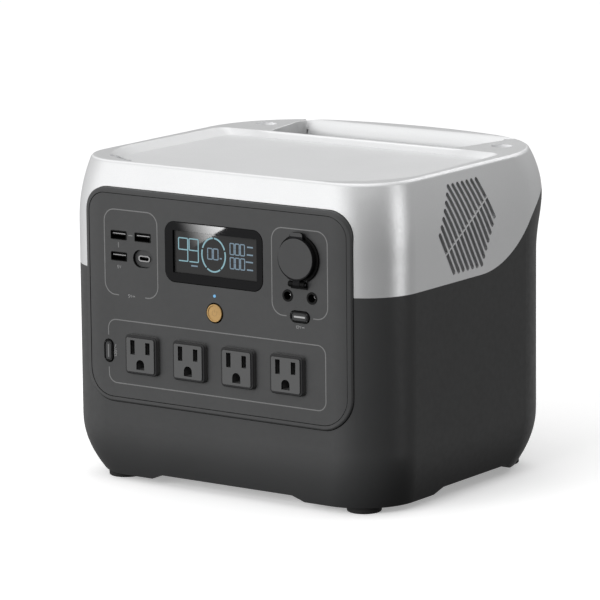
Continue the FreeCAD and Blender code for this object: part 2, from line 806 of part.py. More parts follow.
def front_panel():
    """The panel that carries every socket, button and the display."""
    blank_corner = 8.0
    blank = new_body("panel_blank")
    parts.remove(blank)
    grow(blank, dim.panel_thickness + 0.3,
         rounded(0, dim.frame_middle, panel_width, panel_height, blank_corner),
         bottom=-dim.panel_thickness - 0.3)
    cut = dim.panel_thickness + 1.0
    holes = [
        rounded(dim.lens_column, dim.lens_middle, dim.lens_width, dim.lens_height,
                dim.lens_corner),
        circle(0, dim.light_height, 2.2),
        circle(0, dim.power_height, dim.power_button + 2 * dim.power_gap),
        rounded(dim.dc_column, dim.dc_button_height, dim.pill_length + 0.8,
                dim.pill_width + 0.8, dim.pill_width / 2 + 0.3),
        rounded(-dim.ac_button_column, dim.ac_row, dim.pill_width + 0.8,
                dim.pill_length + 0.8, dim.pill_width / 2 + 0.3),
        circle(dim.dc_column, dim.car_height, 29.0),
        circle(dim.dc_column - dim.jack_offset, dim.jack_height, 8.4),
        circle(dim.dc_column + dim.jack_offset, dim.jack_height, 8.4),
        rounded(-dim.usb_inner_column, dim.usb_lower_row, 16.8, 12.2, 6.0),
    ]
    for x, y in usb_a_places():
        holes.append(rounded(x, y, 13.4, 6.2, 0.6))
    for i in range(4):
        holes.append(rounded(dim.outlet_pitch * (i - 1.5), dim.outlet_height,
                             outlet_base_width + 0.2, outlet_base_tall + 0.2, 2.9))
    sink(blank, cut + 1.0, *holes, top=1.0)
    put_on_panel(blank, 0, 0)
    wrap = doc.addObject("Part::Feature", "panel_wrap")
    within_frame = frame_prism(-dim.frame_rim.number - dim.frame_gap.number, 140.0, 100.0)
    wrap.Shape = plan_wrap(dim.panel_plane.number - dim.case_front.number - 0.3).common(within_frame)
    panel = doc.addObject("Part::Common", "front_panel")
    panel.Label = "front_panel"
    panel.Base = blank
    panel.Tool = wrap
    parts.append(panel)


def usb_a_places():
    """The three USB-A sockets, in two rows."""
    return [(-dim.usb_outer_column, dim.usb_upper_row),
            (-dim.usb_inner_column, dim.usb_upper_row),
            (-dim.usb_outer_column, dim.usb_lower_row)]


front_panel()

# ---------------------------------------------------------------- display


def display():
    """The glossy lens over the display, and the display module behind it."""
    lens = new_body("display_lens")
    grow(lens, 2.6, rounded(0, 0, dim.lens_width - 0.3, dim.lens_height - 0.3,
                            dim.lens_corner - 0.15), bottom=-2.6)
    soften(lens, 0.5, 0)
    put_on_panel(lens, dim.lens_column, dim.lens_middle)
    module = new_body("display_module")
    grow(module, 5.6, rounded(2.0, 0.5, 76.0, 36.0, 1.0), bottom=-9.0)
    grow(module, 4.0, rounded(2.0, 0.5, 68.0, 29.0, 1.0), bottom=-13.0)
    put_on_panel(module, dim.lens_column, dim.lens_middle)


display()

# ---------------------------------------------------------------- buttons and lights


def power_button():
    """Round main button, free to travel inwards."""
    body = new_body("power_button")
    grow(body, dim.button_depth + dim.button_proud, circle(0, 0, dim.power_button),
         bottom=-dim.button_depth)
    sink(body, 0.5, circle(0, 0, dim.power_button - 2.4), top=dim.button_proud)
    soften(body, 0.4, dim.button_proud)
    put_on_panel(body, 0, dim.power_height)
    guide = new_body("power_light_guide")
    grow(guide, 8.0, circle(0, 0, 2.0), bottom=-8.0)
    put_on_panel(guide, 0, dim.light_height)


def pill_button(name, x, z, across, tall, face_across, face_tall):
    """Oval button: a raised face inside a groove, with a light bar let into the face."""
    body = new_body(name)
    round_end = dim.pill_width / 2 - 0.05
    face_end = dim.pill_face_width / 2 - 0.05
    groove = 0.7
    grow(body, dim.button_depth + dim.button_proud, rounded(0, 0, across, tall, round_end),
         bottom=-dim.button_depth)
    soften(body, 0.4, dim.button_proud)
    sink(body, groove, rounded(0, 0, face_across + 1.6, face_tall + 1.6, face_end + 0.8),
         top=dim.button_proud)
    grow(body, groove - 0.1, rounded(0, 0, face_across, face_tall, face_end),
         bottom=dim.button_proud - groove)
    bar_across = across - dim.pill_width * 0.84
    bar_tall = tall - dim.pill_width * 0.84
    sink(body, 1.0, rounded(0, 0, bar_across, bar_tall, 0.55), top=dim.button_proud)
    put_on_panel(body, x, z)
    light = new_body(name + "_light")
    grow(light, 0.85, rounded(0, 0, bar_across - 0.1, bar_tall - 0.1, 0.5),
         bottom=dim.button_proud - 1.0)
    put_on_panel(light, x, z)


power_button()
pill_button("dc_button", dim.dc_column, dim.dc_button_height,
            dim.pill_length, dim.pill_width, dim.pill_face_length, dim.pill_face_width)
pill_button("ac_button", -dim.ac_button_column, dim.ac_row,
            dim.pill_width, dim.pill_length, dim.pill_face_width, dim.pill_face_length)

# ---------------------------------------------------------------- mains outlets


def mains_outlet(number):
    """Raised two-blade and ground outlet, with its contact chamber behind."""
    body = new_body(f"ac_outlet_{number + 1}")
    base = dim.outlet_base_proud
    proud = dim.outlet_proud
    rear = 3.2
    chamber = 20.0
    slot_depth = 15.0
    grow(body, base + rear, rounded(0, 0, outlet_base_width, outlet_base_tall, 2.8), bottom=-rear)
    soften(body, 0.9, base)
    grow(body, proud - base + 0.2, rounded(0, 0, dim.outlet_width, dim.outlet_tall, 1.5),
         bottom=base - 0.2)
    soften(body, 0.35, proud)
    grow(body, chamber - rear, rectangle(0, 0, dim.outlet_width, dim.outlet_tall), bottom=-chamber)
    sink(body, slot_depth,
         rectangle(-dim.blade_spacing / 2, dim.blade_row, dim.blade_slot, dim.neutral_slot),
         rectangle(dim.blade_spacing / 2, dim.blade_row, dim.blade_slot, dim.live_slot),
         top=proud)
    sink(body, slot_depth, circle(0, dim.ground_row, dim.ground_width), top=proud)
    sink(body, slot_depth,
         rectangle(0, dim.ground_row - dim.ground_foot / 2, dim.ground_width, dim.ground_foot),
         top=proud)
    put_on_panel(body, dim.outlet_pitch * (number - 1.5), dim.outlet_height)


for outlet in range(4):
    mains_outlet(outlet)

# ---------------------------------------------------------------- direct-current sockets


def usb_a_port(number, x, z):
    """Metal-shelled socket with its contact tongue."""
    body = new_body(f"usb_a_port_{number}")
    grow(body, 14.0, rounded(0, 0, 13.2, 6.0, 0.6), bottom=-13.8)
    sink(body, 12.0, rounded(0, 0, 12.4, 5.2, 0.4), top=0.2)
    grow(body, 11.0, rounded(0, 0.9, 11.0, 1.8, 0.2), bottom=-12.0)
    put_on_panel(body, x, z)


def usb_c_port():
    """Oval recessed cup with a small metal-shelled socket in it."""
    body = new_body("usb_c_port")
    grow(body, 11.0, rounded(0, 0, 16.5, 11.9, 5.9), bottom=-13.6)
    grow(body, 1.0, rounded(0, 0, 9.8, 4.2, 2.0), bottom=-2.6)
    sink(body, 8.0, rounded(0, 0, 7.8, 2.5, 1.2), top=-1.6)
    grow(body, 5.2, rounded(0, 0, 6.2, 0.7, 0.2), bottom=-9.6)
    put_on_panel(body, -dim.usb_inner_column, dim.usb_lower_row)


def barrel_jack(name, x):
    """Round power jack with its centre pin."""
    body = new_body(name)
    grow(body, 3.4, circle(0, 0, 8.2), bottom=-3.3)
    grow(body, 11.0, rounded(0, 0, 9.4, 9.4, 1.0), bottom=-14.3)
    sink(body, 10.5, circle(0, 0, 5.6), top=0.1)
    grow(body, 6.7, circle(0, 0, 1.7), bottom=-10.5)
    put_on_panel(body, x, dim.jack_height)


for index, (column, height) in enumerate(usb_a_places(), start=1):
    usb_a_port(index, column, height)
usb_c_port()
barrel_jack("dc_jack_left", dim.dc_column - dim.jack_offset)
barrel_jack("dc_jack_right", dim.dc_column + dim.jack_offset)

# ---------------------------------------------------------------- car socket and its cover


def car_socket():
    """Deep round socket with a ring standing on the panel."""
    body = new_body("car_socket")
    grow(body, 1.5, circle(0, 0, dim.car_ring), bottom=0.0)
    grow(body, dim.car_depth, circle(0, 0, 28.6), bottom=-dim.car_depth)
    soften(body, 0.5, 1.5)
    sink(body, dim.car_depth - 4.0, circle(0, 0, dim.car_bore), top=1.5)
    sink(body, 1.6, rectangle(0, dim.cover_pivot_height - dim.car_height, 14.0, 6.4), top=1.6)
    put_on_panel(body, dim.dc_column, dim.car_height)


def car_socket_cover():
    """Disc cover with a finger tab above and a hinge knuckle below."""
    body = new_body("car_socket_cover")
    back = 1.7
    face = 5.0
    pivot_drop = dim.cover_pivot_height - dim.car_height
    grow(body, face - back, circle(0, 0, dim.cover_width), bottom=back)
    soften(body, 0.5, face)
    grow(body, face - back - 1.3, rounded(0, 12.6, 10.6, 10.6, 2.4), bottom=back)
    neck_height = -pivot_drop - dim.cover_width / 2 + 6.0
    grow(body, 2.2, rectangle(0, pivot_drop + neck_height / 2 - 0.4, 5.4, neck_height), bottom=back)
    sink(body, face, rectangle(0, pivot_drop - 1.6, 8.0, 4.0), top=face)
    knuckle = sketch_at(body, -2.7, "YZ_Plane")
    circle(pivot_drop, dim.cover_pivot_proud, 4.0)(knuckle)
    barrel = body.newObject("PartDesign::Pad", "Pad")
    barrel.Profile = knuckle
    barrel.Length = 5.4
    pin_hole = sketch_at(body, 2.8, "YZ_Plane")
    circle(pivot_drop, dim.cover_pivot_proud, 1.7)(pin_hole)
    bore = body.newObject("PartDesign::Pocket", "Pocket")
    bore.Profile = pin_hole
    bore.Length = 5.6
    put_on_panel(body, dim.dc_column, dim.car_height)


def cover_hinge():
    """Two fixed knuckles under the car socket, and the pin through them."""
    base = new_body("cover_hinge_base")
    grow(base, 0.8, rectangle(0, -1.4, 13.0, 4.2), bottom=0.0)
    sink(base, 1.6, rectangle(0, 0.3, 6.0, 5.0), top=1.2)
    for side in (-1, 1):
        sketch = sketch_at(base, 3.0 if side > 0 else -6.4, "YZ_Plane")
        circle(0, dim.cover_pivot_proud, 4.0)(sketch)
        ear = base.newObject("PartDesign::Pad", "Pad")
        ear.Profile = sketch
        ear.Length = 3.4
        grow(base, dim.cover_pivot_proud - 0.3, rectangle(side * 4.7, -1.0, 3.4, 2.4), bottom=0.3)
    bore_sketch = sketch_at(base, 7.0, "YZ_Plane")
    circle(0, dim.cover_pivot_proud, 1.6)(bore_sketch)
    bore = base.newObject("PartDesign::Pocket", "Pocket")
    bore.Profile = bore_sketch
    bore.Length = 14.0
    put_on_panel(base, dim.dc_column, dim.cover_pivot_height)
    pin = doc.addObject("Part::Cylinder", "cover_hinge_pin")
    pin.Label = "cover_hinge_pin"
    pin.Radius = 0.8
    pin.Height = 12.8
    put(pin, dim.dc_column - 6.4, -dim.panel_plane - dim.cover_pivot_proud,
        dim.cover_pivot_height, Rotation(Vector(0, 1, 0), 90))
    parts.append(pin)


car_socket()
car_socket_cover()
cover_hinge()

# ---------------------------------------------------------------- fans, filters and heat sink


def fan(side, sign, turn):
    """Axial fan behind the vent of one side: frame, rotor and dust filter."""
    x = sign * dim.fan_outer_face
    frame = new_body(f"fan_frame_{side}")
    grow(frame, dim.fan_depth, rounded(0, 0, dim.fan_size, dim.fan_size, 4.0),
         bottom=-dim.fan_depth)
    corners = [circle(25.0 * sx, 25.0 * sy, 4.3) for sx in (-1, 1) for sy in (-1, 1)]
    sink(frame, dim.fan_depth + 2.0, circle(0, 0, dim.fan_bore), *corners, top=1.0)
    grow(frame, 2.0, rectangle(0, 0, dim.fan_size - 2.0, 4.0), bottom=-dim.fan_depth)
    grow(frame, 2.0, rectangle(0, 0, 4.0, dim.fan_size - 2.0), bottom=-dim.fan_depth)
    grow(frame, 2.0, circle(0, 0, 24.0), bottom=-dim.fan_depth)
    grow(frame, 9.0, circle(0, 0, 8.0), bottom=-dim.fan_depth)
    sink(frame, 12.0, circle(0, 0, 3.1), top=-dim.fan_depth + 10.0)
    put(frame, x, dim.vent_middle, dim.vent_height, turn)

    rotor = new_body(f"fan_rotor_{side}")
    low = -dim.fan_depth + 2.6
    grow(rotor, 2.0, circle(0, 0, 26.0), bottom=-3.0)
    grow(rotor, -3.0 - low, circle(0, 0, 26.0), circle(0, 0, 22.0), bottom=low)
    grow(rotor, dim.fan_depth - 3.5, circle(0, 0, 3.0), bottom=-dim.fan_depth + 0.5)
    blade = sketch_at(rotor, 12.5, "XZ_Plane")
    lean = [Vector(-6.0, -11.4), Vector(-4.4, -11.4), Vector(6.0, -2.2), Vector(4.4, -2.2)]
    lines = [blade.addGeometry(Part.LineSegment(lean[i], lean[(i + 1) % 4])) for i in range(4)]
    for i in range(4):
        blade.addConstraint(Sketcher.Constraint("Coincident", lines[i], 2, lines[(i + 1) % 4], 1))
        blade.addConstraint(Sketcher.Constraint("Block", lines[i]))
    vane = rotor.newObject("PartDesign::Pad", "Pad")
    vane.Profile = blade
    vane.setExpression("Length", (dim.fan_bore / 2 - 13.6).text)
    repeat_around(rotor, vane, 7)
    put(rotor, x, dim.vent_middle, dim.vent_height, turn)

    screen = new_body(f"dust_filter_{side}")
    grow(screen, 1.0, rounded(0, 0, dim.fan_size, dim.fan_size + 0.5, 3.0), bottom=0.2)
    gap = sink(screen, 3.0, rounded(0, -25.0, 54.0, 3.4, 1.0), top=2.0)
    repeat_along(screen, gap, "Y_Axis", 5.0, 11)
    put(screen, x, dim.vent_middle, dim.vent_height, turn)


for side, (sign, turn) in SIDES.items():
    fan(side, sign, turn)

heat_sink = new_body("heat_sink")
grow(heat_sink, 5.0, rectangle(0, 0, 168.0, 56.0), bottom=0.0)
fin = grow(heat_sink, 52.0, rectangle(0, -27.0, 168.0, 1.6), bottom=4.0)
repeat_along(heat_sink, fin, "Y_Axis", 5.4, 11)
put(heat_sink, 0, dim.vent_middle, dim.board_height + dim.board_thickness)

# ---------------------------------------------------------------- boards


def board(label, width, length, x, y, z, turn=UPRIGHT, chips=()):
    """Circuit board with rectangular components standing on it."""
    body = new_body(label)
    grow(body, dim.board_thickness, rounded(0, 0, width, length, 2.0), bottom=0.0)
    for cx, cy, wide, deep, tall in chips:
        grow(body, tall + 0.5, rectangle(cx, cy, wide, deep),
             bottom=dim.board_thickness - 0.5)
    put(body, x, y, z, turn)


board("main_board", 190.0, 136.0, 0, -20.0, dim.board_height,
      chips=[(-70.0, -50.0, 26.0, 12.0, 14.0), (-30.0, -52.0, 34.0, 14.0, 16.0),
             (10.0, -52.0, 20.0, 14.0, 20.0), (-80.0, 46.0, 16.0, 26.0, 18.0)])
board("battery_board", 120.0, 84.0, 0, -20.0, 118.0,
      chips=[(-40.0, 0.0, 22.0, 60.0, 6.0), (0.0, -20.0, 14.0, 14.0, 2.0),
             (30.0, 10.0, 30.0, 22.0, 10.0)])
board("front_board", 138.0, 62.0, -27.0, -104.0, 164.0, FRONT,
      chips=[(-20.0, 24.0, 12.0, 6.0, 2.0), (40.0, -24.0, 16.0, 10.0, 2.0)])

transformer = new_body("transformer")
grow(transformer, 40.0, rectangle(0, 0, 38.0, 24.0), bottom=0.0)
grow(transformer, 28.0, rounded(0, 0, 30.0, 36.0, 10.0), bottom=6.0)
put(transformer, -42.0, 28.0, dim.board_height + dim.board_thickness)

for index in range(2):
    capacitor = new_body(f"capacitor_{index + 1}")
    grow(capacitor, 42.0, circle(0, 0, 25.0), bottom=0.0)
    soften(capacitor, 1.5, 42.0)
    put(capacitor, 8.0 + 30.0 * index, 32.0, dim.board_height + dim.board_thickness)

# ---------------------------------------------------------------- battery

battery_floor = dim.case_bottom + dim.wall + 1.0
cell_pitch = dim.cell_thickness + dim.cell_gap
stack_width = 6 * cell_pitch


def battery():
    """Six flat cells standing in a tray under a clamping frame, joined by bus bars."""
    tray = new_body("battery_tray")
    inside = dim.cell_length + 1.0
    grow(tray, 30.0, rounded(0, 0, stack_width + 6.0, inside + 6.0, 3.0), bottom=0.0)
    sink(tray, 27.0, rectangle(0, 0, stack_width + 0.4, inside), top=30.0)
    put(tray, 0, dim.battery_middle, battery_floor)
    for i in range(6):
        cell = new_body(f"battery_cell_{i + 1}")
        grow(cell, dim.cell_height, rounded(0, 0, dim.cell_thickness, dim.cell_length, 2.5),
             bottom=0.0)
        for y in (-50.0, 50.0):
            grow(cell, 3.5, circle(0, y, 12.0), bottom=dim.cell_height - 0.5)
        put(cell, cell_pitch * (i - 2.5), dim.battery_middle, battery_floor + 3.0)
    top = battery_floor + 3.0 + dim.cell_height
    clamp = new_body("battery_frame")
    grow(clamp, 3.0, rounded(0, 0, stack_width + 30.0, inside + 6.0, 4.0), bottom=0.0)
    sink(clamp, 5.0, rectangle(0, 0, stack_width - 14.0, inside - 16.0), top=4.0)
    for x in (-86.0, 86.0):
        for y in (-62.0, 55.0):
            grow(clamp, dim.board_height - top, circle(x, y, 8.0), bottom=0.0)
    put(clamp, 0, dim.battery_middle, top)
    straps = new_body("bus_bars")
    straps.AllowCompound = True
    links = []
    for i in range(5):
        end = 50.0 if i % 2 == 0 else -50.0
        links.append(rounded(cell_pitch * (i - 2), end, cell_pitch + 14.0, 14.0, 3.0))
    grow(straps, 1.5, *links, bottom=0.0)
    put(straps, 0, dim.battery_middle, top + 3.0)


battery()

# ---------------------------------------------------------------- rear inputs


def rear_inputs():
    """Recessed plate in the rear wall with the charging inlets and the reset button."""
    y = dim.rear_low - dim.rear_panel_recess
    z = dim.rear_panel_middle
    plate = new_body("rear_input_plate")
    grow(plate, 2.5, rounded(0, 0, dim.rear_panel_width - 0.1, dim.rear_panel_height - 0.1, 0.5),
         bottom=-2.5)
    grow(plate, 2.0, rounded(0, 0, dim.rear_panel_width + 8.0, dim.rear_panel_height + 8.0, 3.0),
         bottom=-4.5)
    sink(plate, 8.0,
         rounded(-22.0, 0, 27.4, 19.8, 2.0),
         rounded(10.0, 0, 19.0, 11.0, 2.0),
         circle(33.0, 0, 11.0), top=1.0)
    put(plate, 0, y, z, REAR)

    inlet = new_body("ac_inlet")
    grow(inlet, 24.0, rounded(-22.0, 0, 27.0, 19.4, 1.8), bottom=-23.0)
    sink(inlet, 16.0, rounded(-22.0, 0, 23.0, 15.6, 3.0), top=1.0)
    for px, py in ((-29.0, -2.0), (-22.0, 2.0), (-15.0, -2.0)):
        grow(inlet, 13.0, rectangle(px, py, 2.0, 4.0), bottom=-16.0)
    put(inlet, 0, y, z, REAR)

    dc = new_body("dc_inlet")
    grow(dc, 17.0, rounded(10.0, 0, 18.6, 10.6, 1.8), bottom=-16.0)
    sink(dc, 9.0, rounded(10.0, 0, 16.0, 8.2, 2.4), top=1.0)
    for px in (6.4, 13.6):
        grow(dc, 8.0, circle(px, 0, 3.5), bottom=-9.0)
    put(dc, 0, y, z, REAR)

    reset = new_body("reset_button")
    grow(reset, 11.0, circle(33.0, 0, 9.6), bottom=-9.0)
    soften(reset, 0.8, 2.0)
    put(reset, 0, y, z, REAR)


rear_inputs()

# ---------------------------------------------------------------- feet and screws

for corner, (x, y) in corner_places().items():
    foot = new_body(f"foot_{corner}")
    grow(foot, dim.pad_bottom + dim.foot_socket - 0.1, circle(0, 0, dim.foot_width), bottom=0.0)
    soften(foot, 1.2, 0)
    put(foot, x, y, 0)

screws = new_body("case_screws")
screws.AllowCompound = True
HEAD_HEIGHT = 1.6
grow(screws, HEAD_HEIGHT, *[circle(x, y, 6.0) for x, y in screw_places()], bottom=0.0)
grow(screws, dim.wall + 0.7, *[circle(x, y, dim.screw_hole - 0.2) for x, y in screw_places()],
     bottom=HEAD_HEIGHT - 0.1)
put(screws, 0, 0, dim.case_bottom - HEAD_HEIGHT - 0.1)

# ---------------------------------------------------------------- check and export

doc.recompute()

for item in doc.Objects:
    if "Invalid" in item.State or "Error" in item.State:
        raise RuntimeError(f"{item.Label} did not build: {item.State}")

for item in doc.Objects:
    if item.TypeId in ("PartDesign::Pad", "PartDesign::Pocket"):
        base = item.BaseFeature
        if base is not None:
            change = item.Shape.Volume - base.Shape.Volume
            if (change > 0) != (item.TypeId == "PartDesign::Pad"):
                owner = item.getParentGeoFeatureGroup().Label
                raise RuntimeError(f"{item.Label} of {owner} does nothing")

os.makedirs("parts", exist_ok=True)
for item in parts:
    if item.Shape.isNull() or not item.Shape.isValid() or not item.Shape.Solids:
        raise RuntimeError(f"{item.Label} has no sound solid")
    item.Shape.exportStep(f"parts/{item.Label}.step")
print(len(parts), "sub-parts")
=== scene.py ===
"""Looks of the power station: materials, printed marks, display, lights and camera.

Lengths are in metres in the frame of the CAD model: X to the right, -Y to the front, Z up.
"""
import math

import bmesh
import bpy
from mathutils import Matrix, Vector
from mathutils.bvhtree import BVHTree


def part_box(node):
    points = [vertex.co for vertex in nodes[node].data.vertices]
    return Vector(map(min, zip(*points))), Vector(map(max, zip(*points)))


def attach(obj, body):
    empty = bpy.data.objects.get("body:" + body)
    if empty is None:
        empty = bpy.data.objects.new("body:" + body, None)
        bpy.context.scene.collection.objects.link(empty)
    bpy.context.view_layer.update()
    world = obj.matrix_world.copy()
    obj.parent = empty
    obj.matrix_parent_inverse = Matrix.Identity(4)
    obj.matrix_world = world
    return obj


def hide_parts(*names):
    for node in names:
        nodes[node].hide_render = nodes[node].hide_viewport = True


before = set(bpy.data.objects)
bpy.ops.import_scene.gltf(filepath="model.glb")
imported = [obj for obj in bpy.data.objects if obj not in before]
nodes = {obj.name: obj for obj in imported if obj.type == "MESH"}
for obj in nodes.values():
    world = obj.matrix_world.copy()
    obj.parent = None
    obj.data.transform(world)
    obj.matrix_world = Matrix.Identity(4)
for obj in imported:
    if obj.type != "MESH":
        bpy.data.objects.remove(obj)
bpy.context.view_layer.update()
MM = 0.001

# ---------------------------------------------------------------- camera

AZIMUTH = math.radians(35.27)
ELEVATION = math.radians(10.77)
ROLL = math.radians(-0.56)
AIM = Vector((-0.01173, -0.00909, 0.11795))
DISTANCE = 2.9618
FOCAL_LENGTH = 256.1
SENSOR_WIDTH = 36.0


def make_camera():
    """The long lens, a little above the object and to its front right."""
    data = bpy.data.cameras.new("camera")
    data.lens = FOCAL_LENGTH
    data.sensor_width = SENSOR_WIDTH
    camera = bpy.data.objects.new("camera", data)
    bpy.context.scene.collection.objects.link(camera)
    back = Vector((math.sin(AZIMUTH) * math.cos(ELEVATION),
                   -math.cos(AZIMUTH) * math.cos(ELEVATION),
                   math.sin(ELEVATION)))
    level = Vector((0, 0, 1)).cross(back).normalized()
    upright = back.cross(level)
    right = math.cos(ROLL) * level + math.sin(ROLL) * upright
    up = math.cos(ROLL) * upright - math.sin(ROLL) * level
    placed = Matrix((right, up, back)).transposed().to_4x4()
    placed.translation = AIM + DISTANCE * back
    camera.matrix_world = placed
    bpy.context.scene.camera = camera


make_camera()

# ---------------------------------------------------------------- studio


def area_light(name, place, target, size, power, diffuse=True, glossy=True):
    """A soft rectangular light that looks at its target."""
    data = bpy.data.lights.new(name, "AREA")
    data.shape = "RECTANGLE"
    data.size, data.size_y = size
    data.energy = power
    light = bpy.data.objects.new(name, data)
    bpy.context.scene.collection.objects.link(light)
    light.location = place
    light.rotation_euler = (Vector(target) - Vector(place)).to_track_quat("-Z", "Y").to_euler()
    light.visible_diffuse = diffuse
    light.visible_glossy = glossy


WALL_BRIGHTNESS = (
    (-180, 0.45), (-150, 0.40), (-125, 0.40), (-105, 0.55), (-85, 0.55), (-60, 1.22),
    (-26, 1.22), (-3, 0.74), (16, 0.16), (115, 0.13), (145, 0.53), (180, 0.53),
)
CEILING = (0.35, 0.75, 0.82)         # sine of the elevation where it starts and ends, brightness
GROUND = (-0.26, -0.60, 0.05)


def studio_walls():
    """The brightness of the studio all round: by azimuth, with a soft ceiling and dark ground."""
    world = bpy.data.worlds.new("studio")
    bpy.context.scene.world = world
    world.use_nodes = True
    tree = world.node_tree
    place = tree.nodes.new("ShaderNodeTexCoord")
    split = tree.nodes.new("ShaderNodeSeparateXYZ")
    tree.links.new(place.outputs["Generated"], split.inputs[0])
    forward = tree.nodes.new("ShaderNodeMath")
    forward.operation = "MULTIPLY"
    forward.inputs[1].default_value = -1.0
    tree.links.new(split.outputs["Y"], forward.inputs[0])
    azimuth = tree.nodes.new("ShaderNodeMath")
    azimuth.operation = "ARCTAN2"
    tree.links.new(split.outputs["X"], azimuth.inputs[0])
    tree.links.new(forward.outputs[0], azimuth.inputs[1])
    turn = tree.nodes.new("ShaderNodeMapRange")
    turn.inputs["From Min"].default_value = -math.pi
    turn.inputs["From Max"].default_value = math.pi
    tree.links.new(azimuth.outputs[0], turn.inputs["Value"])
    walls = tree.nodes.new("ShaderNodeValToRGB")
    tree.links.new(turn.outputs[0], walls.inputs[0])
    while len(walls.color_ramp.elements) < len(WALL_BRIGHTNESS):
        walls.color_ramp.elements.new(1.0)
    for element, (degrees, value) in zip(walls.color_ramp.elements, WALL_BRIGHTNESS):
        element.position = (degrees + 180.0) / 360.0
        element.color = (value, value, value, 1.0)
    colour = walls.outputs[0]
    for start, end, value in (CEILING, GROUND):
        reach = tree.nodes.new("ShaderNodeMapRange")
        reach.interpolation_type = "SMOOTHSTEP"
        reach.inputs["From Min"].default_value = start
        reach.inputs["From Max"].default_value = end
        tree.links.new(split.outputs["Z"], reach.inputs["Value"])
        layer = tree.nodes.new("ShaderNodeMix")
        layer.data_type = "RGBA"
        tree.links.new(reach.outputs[0], layer.inputs[0])
        tree.links.new(colour, layer.inputs[6])
        layer.inputs[7].default_value = (value, value, value, 1.0)
        colour = layer.outputs[2]
    tree.links.new(colour, tree.nodes["Background"].inputs["Color"])


studio_walls()
area_light("key", (-0.4, -2.5, 0.8), (0, 0, 0.12), (1.7, 1.3), 52.0, glossy=False)
area_light("overhead", (0.0, 0.1, 2.3), (0, 0, 0.2), (1.6, 1.6), 6.0)
area_light("rear_softbox", (0.1, 1.9, 1.45), (0, 0, 0.2), (1.7, 0.75), 7.5, diffuse=False)
area_light("corner_strip", (1.97, 0.31, 0.35), (0, 0, 0.12), (0.75, 1.5), 7.5, diffuse=False)
bpy.context.scene.view_settings.view_transform = "Standard"

# ---------------------------------------------------------------- material graphs


